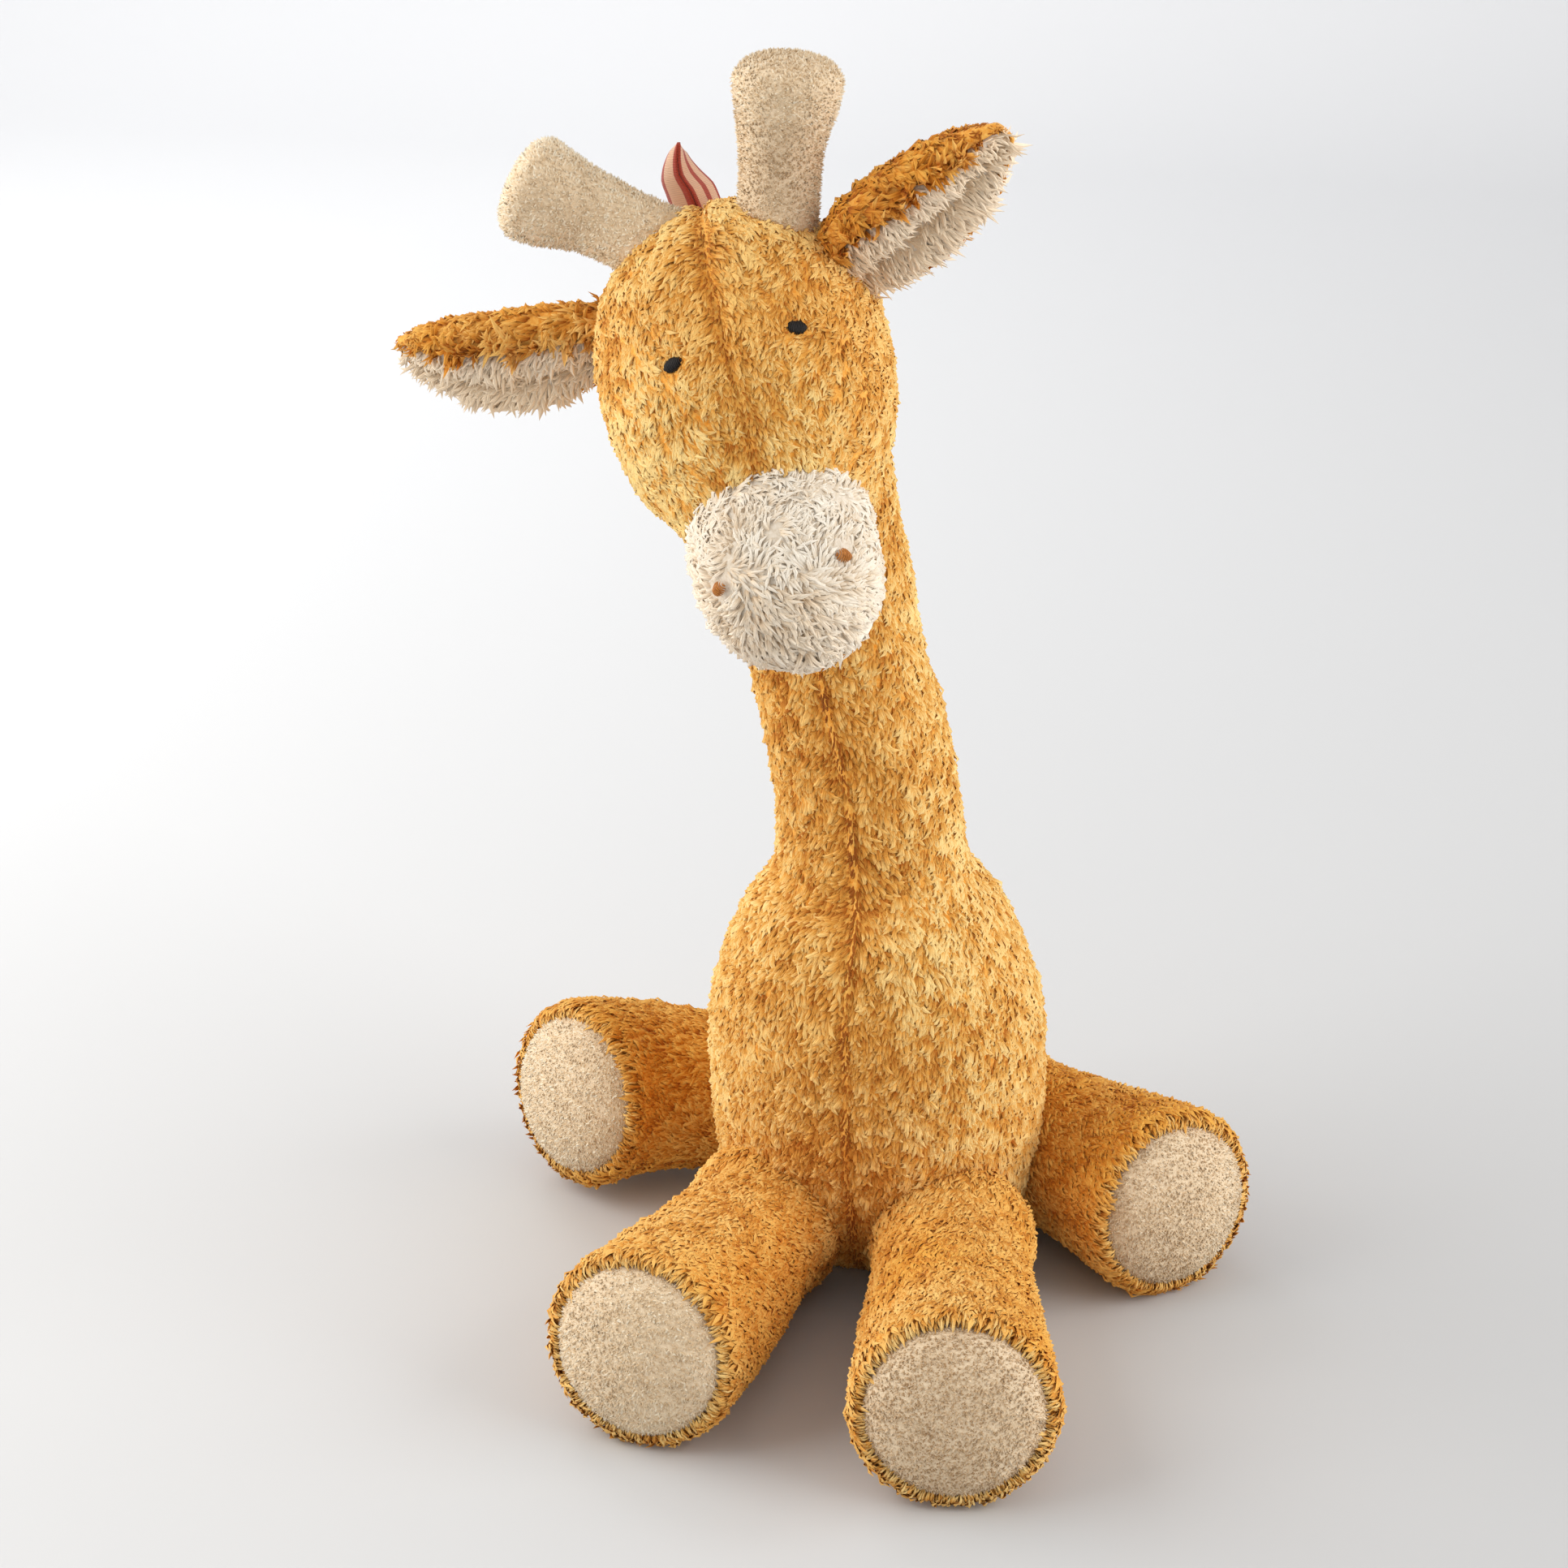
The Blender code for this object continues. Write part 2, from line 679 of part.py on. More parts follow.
def add_head(group, cutters, materials, pivot, head_sweep, ear_sweeps):
    stations = head_stations()
    for side, start, end in (("right", -90.0, 90.0), ("left", 90.0, 270.0)):
        mesh = skin(head_rings(stations, start, end, False, HEAD_SIDES), False)
        panel = add_node("head_panel_" + side, mesh, materials["plush"], pivot, group)
        thicken(panel, CLOTH_THICKNESS)
        cut(panel, head_sweep)
        cut(panel, ear_sweeps[side])
    cover = add_node("muzzle_cover", skin(head_rings(muzzle_stations(), 0.0, 360.0, True, HEAD_SIDES),
                                          True, False, True), materials["cream"], pivot, group)
    thicken(cover, CLOTH_THICKNESS)
    inset = -CLOTH_THICKNESS - FILLING_GAP
    whole = head_stations(inset) + muzzle_stations(inset)[1:-1]
    filling = add_node("head_stuffing", closed_solid(head_rings(whole, 0.0, 360.0, True, HEAD_SIDES)),
                       materials["filling"], pivot, group)
    cut(filling, head_sweep)
    for side in ("left", "right"):
        cut(filling, ear_sweeps[side])

    nostril_ahead = HEAD_SEAM_LENGTH + MUZZLE_LENGTH * NOSTRIL_SHARE
    for side, sign in (("left", -1), ("right", 1)):
        ahead = EYES[side]["ahead"]
        turn = EYES[side]["turn"]
        radius = head_radius(ahead) * facet_share(turn)
        eye = head_patch(ahead, radius, turn, 0.0, EYE_HALF_LENGTH, EYE_HALF_WIDTH)
        add_node("eye_" + side, eye, materials["eye_thread"], pivot, group)
        radius = MUZZLE_RADIUS * NOSTRIL_RADIUS_SHARE
        nostril = head_patch(nostril_ahead, radius, sign * NOSTRIL_TURN, NOSTRIL_TILT,
                             NOSTRIL_HALF_LENGTH, NOSTRIL_HALF_WIDTH)
        add_node("nostril_" + side, nostril, materials["nostril_thread"], pivot, group)


def add_horns(group, cutters, materials, pivot):
    envelope = closed_solid(head_rings(head_stations(GAP), 0.0, 360.0, True, HEAD_SIDES))
    head_shape = add_cutter("head_shape", envelope, cutters)
    for side, horn in HORNS.items():
        points, radii = horn_path(horn)
        front = (0, -1, 0)
        rings = path_rings(points, radii, front, HORN_SIDES)
        cover = add_node("horn_" + side, skin(rings, True, False, True), materials["velour"], pivot, group)
        thicken(cover, CLOTH_THICKNESS)
        cut(cover, head_shape)
        slim = [radius - CLOTH_THICKNESS - FILLING_GAP for radius in radii]
        inner = path_rings(points[:-HORN_END_STEPS], slim[:-HORN_END_STEPS], front, HORN_SIDES)
        filling = add_node("horn_stuffing_" + side, closed_solid(inner), materials["filling"], pivot, group)
        cut(filling, head_shape)


def ear_axis(ear):
    """The axis across an ear's root: positive turns fold it towards its mouth."""
    along = Vector(ear["tip"]) - Vector(ear["root"])
    return along.cross(Vector(ear["mouth"])).normalized()


def add_ears(group, cutters, materials):
    sweeps = {}
    for side, ear in EARS.items():
        root = Vector(ear["root"])
        back = add_node("ear_back_" + side, skin(ear_rings(ear, 0.0), False), materials["plush"], root, group)
        thicken(back, EAR_CLOTH_THICKNESS)
        inner = ear_rings(ear, -EAR_CLOTH_THICKNESS - EAR_GAP)[1:-1]
        lining = add_node("ear_lining_" + side, skin(inner, False), materials["cream"], root, group)
        thicken(lining, EAR_CLOTH_THICKNESS)
        near = ear_rings(ear, SWEEP_CLEARANCE)[:EAR_HINGE_RINGS]
        past = [[p - (Vector(ear["tip"]) - root).normalized() * SWEEP_CLEARANCE for p in near[0]]]
        mesh = sweep_mesh(past + near, root, ear_axis(ear), *EAR_FLAP)
        sweeps[side] = add_cutter("ear_sweep_" + side, mesh, cutters)
    return sweeps


def add_leg(name, leg, group, cutters, materials):
    """A leg's cover, foot pad and stuffing, and the room that it sweeps as it lifts."""
    hip = Vector(leg["hip"])
    points, radii, facing = leg_path(leg)
    up = (0, 0, 1)
    rings = path_rings(points, radii, up, LEG_SIDES)
    foot = Vector(leg["foot"])
    frame = curve_frames(points, up)[-1]
    side = (frame[1] - facing * frame[1].dot(facing)).normalized()
    front = facing.cross(side)
    if front.z < 0:
        front = -front
    rim = LEG_RIM_RADIUS
    lip = LEG_RIM_RADIUS - LEG_RIM_LIP_WIDTH
    turned = foot + facing * (LEG_RIM_LIP_WIDTH / 2)
    rings[-1] = ring(foot, side, front, rim, rim, rim, 0.0, 360.0, LEG_SIDES, True)
    rings.append(ring(turned, side, front, lip, lip, lip, 0.0, 360.0, LEG_SIDES, True))
    mesh = skin(rings, True, True, False)
    cover = add_node(name + "_leg_cover", mesh, materials["plush"], hip, group)
    thicken(cover, CLOTH_THICKNESS)

    pad = add_node(name + "_foot_pad", skin(pad_rings(foot, facing, side, front), True, False, True),
                   materials["velour"], hip, group)
    thicken(pad, CLOTH_THICKNESS)

    slim_points, slim_radii, facing = leg_path(leg, -CLOTH_THICKNESS - FILLING_GAP)
    inner = path_rings(slim_points, slim_radii, up, LEG_SIDES)
    end = foot - facing * (CLOTH_THICKNESS + FILLING_GAP)
    r = LEG_RIM_RADIUS - LEG_RIM_LIP_WIDTH - CLOTH_THICKNESS
    inner[-1] = ring(end, side, front, r, r, r, 0.0, 360.0, LEG_SIDES, True)
    inner += pad_rings(foot, facing, side, front, -CLOTH_THICKNESS - FILLING_GAP)
    add_node(name + "_leg_stuffing", closed_solid(inner), materials["filling"], hip, group)

    wide_points, wide_radii, facing = leg_path(leg, SWEEP_CLEARANCE)
    swept = path_rings(wide_points, wide_radii, up, LEG_SIDES)[:BALL_STEPS + SWEEP_RINGS_PAST_BALL]
    return add_cutter(name + "_sweep", sweep_mesh(swept, hip, leg_axis(leg), *LEG_LIFT), cutters)


def add_ribbon(group, materials, pivot):
    """A folded ribbon whose two ends are caught in the seam."""
    outline = []
    half = RIBBON_BEND_RADIUS
    outline.append((-half, 0.0))
    outline.append((-half, RIBBON_HEIGHT / 2))
    for i in range(RIBBON_BEND_STEPS + 1):
        angle = math.radians(180.0 - 180.0 * i / RIBBON_BEND_STEPS)
        outline.append((half * math.cos(angle), RIBBON_HEIGHT - half + half * math.sin(angle)))
    outline.append((half, RIBBON_HEIGHT / 2))
    outline.append((half, 0.0))
    rings = [[Vector((-RIBBON_WIDTH / 2, x, z)), Vector((RIBBON_WIDTH / 2, x, z))] for x, z in outline]
    mesh = skin(rings, False)
    lean = Matrix.Rotation(math.radians(RIBBON_LEAN), 4, "Y")
    turn = Matrix.Rotation(math.radians(RIBBON_TURN), 4, "Z")
    mesh.transform(Matrix.Translation(RIBBON_BASE) @ lean @ turn)
    ribbon = add_node("ribbon_loop", mesh, materials["ribbon"], pivot, group)
    thicken(ribbon, RIBBON_THICKNESS)


def main():
    clear_scene()
    group = make_collection("plush_giraffe")
    cutters = make_collection("cutters")
    materials = {name: make_material(name) for name in COLORS}
    sweeps = [add_leg(name, leg, group, cutters, materials) for name, leg in LEGS.items()]
    base, top, torso_sweep, head_sweep = add_neck(group, cutters, materials)
    add_torso(group, cutters, materials, sweeps + [torso_sweep])
    ear_sweeps = add_ears(group, cutters, materials)
    add_head(group, cutters, materials, top, head_sweep, ear_sweeps)
    add_horns(group, cutters, materials, top)
    add_ribbon(group, materials, top)
    print("neck pivot", tuple(round(v, 5) for v in base), "head pivot", tuple(round(v, 5) for v in top))
    for name, leg in LEGS.items():
        print(name, "axis", tuple(round(v, 5) for v in leg_axis(leg)))
    for side, ear in EARS.items():
        print("ear", side, "axis", tuple(round(v, 5) for v in ear_axis(ear)))


main()
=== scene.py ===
import json
import math

import bpy
import numpy as np
from mathutils import Matrix, Vector, noise
from mathutils.bvhtree import BVHTree

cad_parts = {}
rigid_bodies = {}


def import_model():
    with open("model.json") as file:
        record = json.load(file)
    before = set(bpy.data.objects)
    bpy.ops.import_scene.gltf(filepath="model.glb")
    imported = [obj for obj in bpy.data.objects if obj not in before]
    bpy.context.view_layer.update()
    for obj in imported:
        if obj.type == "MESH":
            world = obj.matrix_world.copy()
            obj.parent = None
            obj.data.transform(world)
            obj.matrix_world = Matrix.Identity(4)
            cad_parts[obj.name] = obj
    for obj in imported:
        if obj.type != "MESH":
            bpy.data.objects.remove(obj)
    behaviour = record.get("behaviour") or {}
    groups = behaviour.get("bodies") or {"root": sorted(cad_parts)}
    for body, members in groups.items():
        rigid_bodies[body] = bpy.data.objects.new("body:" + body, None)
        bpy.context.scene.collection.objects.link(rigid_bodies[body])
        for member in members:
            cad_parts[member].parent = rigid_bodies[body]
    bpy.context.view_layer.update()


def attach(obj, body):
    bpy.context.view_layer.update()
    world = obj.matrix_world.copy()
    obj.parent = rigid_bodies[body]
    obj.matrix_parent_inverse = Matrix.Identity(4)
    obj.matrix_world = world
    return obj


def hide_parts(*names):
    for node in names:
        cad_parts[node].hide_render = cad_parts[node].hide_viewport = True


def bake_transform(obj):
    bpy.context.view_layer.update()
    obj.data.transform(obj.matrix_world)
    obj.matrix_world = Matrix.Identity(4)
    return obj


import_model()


# Numbers and curves. All sizes are in metres.
def rgb(r, g, b):
    return tuple((c / 255 / 12.92) if c <= 10.3 else ((c / 255 + 0.055) / 1.055) ** 2.4 for c in (r, g, b))


def unit(v):
    v = np.asarray(v, float)
    return v / np.maximum(np.linalg.norm(v, axis=-1, keepdims=True), 1e-9)


def size(vectors):
    return np.linalg.norm(vectors, axis=-1)


def bell(distance, width):
    return np.exp(-(distance / width) ** 2)


def ramp(value, start, width):
    # From 0 to 1 over the width, or back from 1 where that is negative.
    return np.clip((value - start) / width, 0, 1)


def smoothRows(rows, x):
    # A curve through rows of x and y that never overshoots them.
    xs, ys = np.asarray(rows, float).T
    x = np.asarray(x, float)
    steps = np.diff(xs)
    slopes = np.diff(ys) / steps
    tangents = np.zeros_like(ys)
    for i in range(1, len(ys) - 1):
        if slopes[i - 1] * slopes[i] > 0:
            tangents[i] = 2 / (1 / slopes[i - 1] + 1 / slopes[i])
    tangents[0] = slopes[0]
    tangents[-1] = slopes[-1]
    i = np.clip(np.searchsorted(xs, x) - 1, 0, len(xs) - 2)
    t = np.clip((x - xs[i]) / steps[i], 0, 1)
    first = ys[i] * (2 * t**3 - 3 * t**2 + 1) + steps[i] * tangents[i] * (t**3 - 2 * t**2 + t)
    last = ys[i + 1] * (3 * t**2 - 2 * t**3) + steps[i] * tangents[i + 1] * (t**3 - t**2)
    return first + last


def waves(points, scale, seed):
    # Smooth noise at each point, the scale in waves a metre.
    offset = Vector((seed * 7.3, seed * 3.1, seed * 5.7))
    values = [noise.noise(Vector(p) * scale + offset) for p in points.reshape(-1, 3)]
    return np.array(values).reshape(points.shape[:-1])


def mottle(points, noises, seed=0):
    # Rows of amount, scale and seed added up.
    return sum(amount * waves(points, scale, seed + more) for amount, scale, more in noises)


def wander(stations, noises):
    # The same along one line, for rings.
    return mottle(np.stack([stations * 0, stations * 0, stations], -1), noises)[:, None]


# Meshes.
def addObject(name, mesh):
    obj = bpy.data.objects.new(name, mesh)
    bpy.context.scene.collection.objects.link(obj)
    return obj


def storeLayers(mesh, layers):
    for key, values in layers.items():
        values = np.asarray(values, np.float32)
        vector = values.ndim == 2 and values.shape[1] == 3
        layer = mesh.attributes.new(key, "FLOAT_VECTOR" if vector else "FLOAT", "POINT")
        layer.data.foreach_set("vector" if vector else "value", values.ravel())


def buildMesh(name, co, faces, layers):
    # Triangles or quads given as one array of corner numbers a row.
    mesh = bpy.data.meshes.new(name)
    mesh.vertices.add(len(co))
    mesh.vertices.foreach_set("co", np.asarray(co, np.float32).ravel())
    mesh.loops.add(faces.size)
    mesh.loops.foreach_set("vertex_index", faces.astype(np.int32).ravel())
    mesh.polygons.add(len(faces))
    mesh.polygons.foreach_set("loop_start", np.arange(0, faces.size, faces.shape[1], dtype=np.int32))
    mesh.update(calc_edges=True)
    mesh.shade_smooth()
    storeLayers(mesh, layers)
    return mesh


def loft(name, grid, layers, closed=True):
    # grid is rings x sides x 3. A layer has a vector for each point, or values that fit rings x sides.
    rings, sides = grid.shape[:2]
    co = [grid.reshape(-1, 3)]
    layers = {key: value if np.ndim(value) == 3 else value * np.ones((rings, sides))
              for key, value in layers.items()}
    values = {key: [value.reshape(rings * sides, -1)] for key, value in layers.items()}
    ring, side = np.meshgrid(np.arange(rings - 1), np.arange(sides), indexing="ij")
    after = (side + 1) % sides
    faces = np.stack([ring * sides + side, ring * sides + after, (ring + 1) * sides + after,
                      (ring + 1) * sides + side], -1).reshape(-1, 4).tolist()
    for cap, row in enumerate((0, rings - 1) if closed else ()):
        co.append(grid[row].mean(axis=0, keepdims=True))
        for key, value in layers.items():
            values[key].append(value[row].reshape(sides, -1).mean(axis=0, keepdims=True))
        for i in range(sides):
            edge = [row * sides + i, row * sides + (i + 1) % sides]
            faces.append((edge if row else edge[::-1]) + [rings * sides + cap])
    mesh = bpy.data.meshes.new(name)
    mesh.from_pydata(np.concatenate(co).tolist(), [], faces)
    mesh.shade_smooth()
    storeLayers(mesh, {key: np.concatenate(parts) for key, parts in values.items()})
    # A closed piece whose volume comes out negative is turned over.
    corners = [[mesh.vertices[i].co for i in polygon.vertices] for polygon in mesh.polygons]
    if sum(c[0].dot(c[i].cross(c[i + 1])) for c in corners for i in range(1, len(c) - 1)) < 0:
        mesh.flip_normals()
    return addObject(name, mesh)


def slopes(grid, wrap=True, outwards=None):
    # Unit steps along and around a grid of rings, and the normal, turned outwards where that is given.
    along = unit(np.gradient(grid, axis=0))
    around = np.roll(grid, -1, axis=1) - np.roll(grid, 1, axis=1) if wrap else np.gradient(grid, axis=1)
    around = unit(around)
    normal = unit(np.cross(around, along))
    if outwards is not None and (normal * outwards).sum() < 0:
        normal = -normal
    return along, around, normal


def tube(points, radii, sides):
    # Rings round a line of points, without twist, and the way from the line to each ring point.
    tangents = unit(np.gradient(points, axis=0))
    side = unit(np.cross(tangents[0], (0, 0, 1)))
    across = []
    for tangent in tangents:
        side = unit(side - tangent * np.dot(side, tangent))
        across.append(side)
    across = np.array(across)
    up = np.cross(across, tangents)
    turn = np.linspace(0, 2 * math.pi, sides, endpoint=False)
    spoke = across[:, None] * np.cos(turn)[None, :, None] + up[:, None] * np.sin(turn)[None, :, None]
    return points[:, None] + spoke * radii[:, None, None], spoke


def placed(points, matrix):
    return points @ matrix[:3, :3].T + matrix[:3, 3]


# Nodes.
def socket(sockets, name):
    return next(s for s in sockets if s.name == name and s.enabled)


def feed(target, value):
    # value is an output, a node with its output's name, a colour or a plain value.
    if isinstance(value, tuple) and isinstance(value[0], bpy.types.Node):
        value = socket(value[0].outputs, value[1])
    if isinstance(value, bpy.types.NodeSocket):
        target.id_data.links.new(value, target)
    elif isinstance(value, tuple) and target.type == "RGBA":
        target.default_value = value + (1.0,)
    else:
        target.default_value = value


def newNode(tree, kind, inputs=None, **settings):
    node = tree.nodes.new(kind)
    for key, value in settings.items():
        setattr(node, key, value)
    for key, value in (inputs or {}).items():
        feed(node.inputs[key] if isinstance(key, int) else socket(node.inputs, key), value)
    return node


def newTree(name, kind, inputs, outputs):
    # A node tree with sockets given as type: names, its inputs by name, and its output node.
    tree = bpy.data.node_groups.new(name, kind)
    for way, sockets in (("INPUT", inputs), ("OUTPUT", outputs)):
        for socketType, labels in sockets.items():
            for label in labels:
                tree.interface.new_socket(label, in_out=way, socket_type="NodeSocket" + socketType)
    given = newNode(tree, "NodeGroupInput")
    return tree, {s.name: s for s in given.outputs if s.name}, newNode(tree, "NodeGroupOutput")


def mathNode(tree, operation, *values):
    return newNode(tree, "ShaderNodeMath", dict(enumerate(values)), operation=operation).outputs[0]


def vectorNode(tree, operation, *values):
    return newNode(tree, "ShaderNodeVectorMath", dict(enumerate(values)), operation=operation).outputs[0]


def clamped(tree, value, low=0.0, high=1.0):
    return mathNode(tree, "MAXIMUM", mathNode(tree, "MINIMUM", value, high), low)


def randomNode(tree, low, high, seed, kind="FLOAT"):
    values = {"Min": low, "Max": high, "Seed": seed}
    return (newNode(tree, "FunctionNodeRandomValue", values, data_type=kind), "Value")


def fieldNode(tree, name, kind="FLOAT"):
    return (newNode(tree, "GeometryNodeInputNamedAttribute", {"Name": name}, data_type=kind), "Attribute")


def attributeNode(tree, name):
    return newNode(tree, "ShaderNodeAttribute", attribute_type="GEOMETRY", attribute_name=name).outputs["Fac"]


def mixColour(tree, factor, first, second, blend="MIX"):
    return newNode(tree, "ShaderNodeMix", {0: factor, 6: first, 7: second}, data_type="RGBA",
                   blend_type=blend).outputs[2]


def noiseNode(tree, scale, detail=3.0, roughness=0.55):
    place = newNode(tree, "ShaderNodeTexCoord")
    return newNode(tree, "ShaderNodeTexNoise", {"Vector": (place, "Object"), "Scale": scale, "Detail": detail,
                                                "Roughness": roughness}).outputs[0]


def finishTree(tree, result, instances, finish):
    real = newNode(tree, "GeometryNodeRealizeInstances", {"Geometry": instances})
    done = newNode(tree, "GeometryNodeSetMaterial", {"Geometry": (real, "Geometry"), "Material": finish})
    feed(socket(result.inputs, "Geometry"), (done, "Geometry"))


def runTree(carrier, tree, values):
    # Runs a tree on a copy of the piece and gives back the plain mesh.
    copy = addObject(carrier.name + "Carrier", carrier.data.copy())
    modifier = copy.modifiers.new("grow", "NODES")
    modifier.node_group = tree
    for item in tree.interface.items_tree:
        if item.in_out == "INPUT" and item.name in values:
            modifier[item.identifier] = values[item.name]
    graph = bpy.context.evaluated_depsgraph_get()
    graph.update()
    mesh = bpy.data.meshes.new_from_object(copy.evaluated_get(graph), depsgraph=graph)
    copy.modifiers.clear()
    bpy.data.objects.remove(copy)
    return mesh


# Pile. Locks are open half-tubes from root to tip, y ahead and z up, one unit long. Nubs are small cones.
lockShapes = {
    "arch": [(0, 0, -0.20), (0.02, 0.28, -0.02), (0.05, 0.68, 0.05), (0.09, 1.08, -0.05)],
    "right": [(0, 0, -0.20), (0.05, 0.30, -0.01), (0.18, 0.66, 0.06), (0.42, 0.90, -0.04)],
    "left": [(0, 0, -0.20), (-0.06, 0.30, -0.02), (-0.20, 0.66, 0.05), (-0.42, 0.94, -0.06)],
    "curl": [(0, 0, -0.20), (0.02, 0.26, 0.05), (0.12, 0.54, 0.17), (0.32, 0.68, 0.03)],
    "flat": [(0, 0, -0.20), (-0.05, 0.34, -0.04), (0.03, 0.76, 0.01), (0.10, 1.22, -0.08)],
    "whip": [(0, 0, -0.05), (0.03, 0.24, 0.30), (0.05, 0.66, 0.34), (0.06, 0.98, -0.02)],
    "whipTurned": [(0, 0, -0.05), (-0.04, 0.26, 0.32), (-0.03, 0.62, 0.30), (0.02, 0.90, -0.02)],
}
longShapes = ["arch", "right", "left", "curl", "flat"]
pile = {
    "plush": {"length": 0.0056, "perArea": 950000, "width": 0.20, "shapes": longShapes, "slot": "plush",
              "finish": "plushPile", "backing": "plushBacking"},
    "cream": {"length": 0.0075, "perArea": 1500000, "width": 0.16, "shapes": longShapes, "slot": "cream_pile",
              "finish": "creamPile", "backing": "creamBacking"},
    "band": {"length": 0.0040, "perArea": 3200000, "width": 0.15, "shapes": ["whip", "whipTurned"],
             "slot": "plush", "finish": "plushPile"},
    "nap": {"length": 0.0013, "perArea": 2000000, "nub": 0.62, "shapes": ["arch", "right", "left"],
            "slot": "velour", "finish": "velourNap", "backing": "velourCloth"},
}
tufting = {
    "Spacing": 0.00045, "Length Spread": 0.25, "Swirl": 0.9, "Swirl Scale": 75.0, "Jitter": 0.34,
    "Lift Jitter": 0.09, "Clump": 0.7, "Clump Scale": 215.0,
}
napTufting = {"Spacing": 0.0004, "Swirl": 3.0, "Swirl Scale": 300.0, "Jitter": 1.5, "Length Spread": 0.5,
              "Clump": 0.0, "Clump Scale": 700.0}
pressed = {"height": 0.0012, "reach": 0.004}
# The seam value is painted shade where it is positive and painted light where it is negative.
keptPile = ("along", "across", "tone", "warmth", "seam")


def lockParts(settings, shape):
    path = np.array(lockShapes[shape], float)
    if "nub" in settings:
        turn = np.radians([90, 210, 330])
        co = np.stack([np.cos(turn) * settings["nub"] / 2, np.sin(turn) * settings["nub"] / 2,
                       np.full(3, -0.05)], -1).tolist() + [(path[3][0], 0.35, 0.62)]
        faces = np.array([(0, 1, 3), (1, 2, 3), (2, 0, 3)])
        return np.array(co), faces, [0, 0, 0, 1.0], [-1.0, 1.0, 0.0, 0.0]
    tangent = unit(np.gradient(path, axis=0))
    side = unit(np.cross(tangent, (0, 0, 1)))
    up = np.cross(side, tangent)
    width = settings["width"] * np.array([0.75, 1.0, 0.9])[:, None] / 2
    co = []
    for i in range(3):
        co += [path[i] - side[i] * width[i], path[i] + up[i] * width[i] * 1.1, path[i] + side[i] * width[i]]
    co.append(path[3])
    faces = []
    for a in (0, 1, 3, 4):
        faces += [(a, a + 1, a + 4), (a, a + 4, a + 3)]
    faces += [(6, 7, 9), (7, 8, 9)]
    along = [0] * 3 + [0.4] * 3 + [0.8] * 3 + [1.0]
    return np.array(co), np.array(faces), along, [-1.0, 0, 1.0] * 3 + [0.0]


def makeLocks(kind):
    settings = pile[kind]
    settings["locks"] = bpy.data.collections.new(kind)
    bpy.context.scene.collection.children.link(settings["locks"])
    for shape in settings["shapes"]:
        co, faces, along, across = lockParts(settings, shape)
        mesh = buildMesh(kind + shape, co, faces, {"along": along, "across": across})
        settings["locks"].objects.link(bpy.data.objects.new(kind + shape, mesh))
    settings["corners"], settings["faces"] = len(co), len(faces)


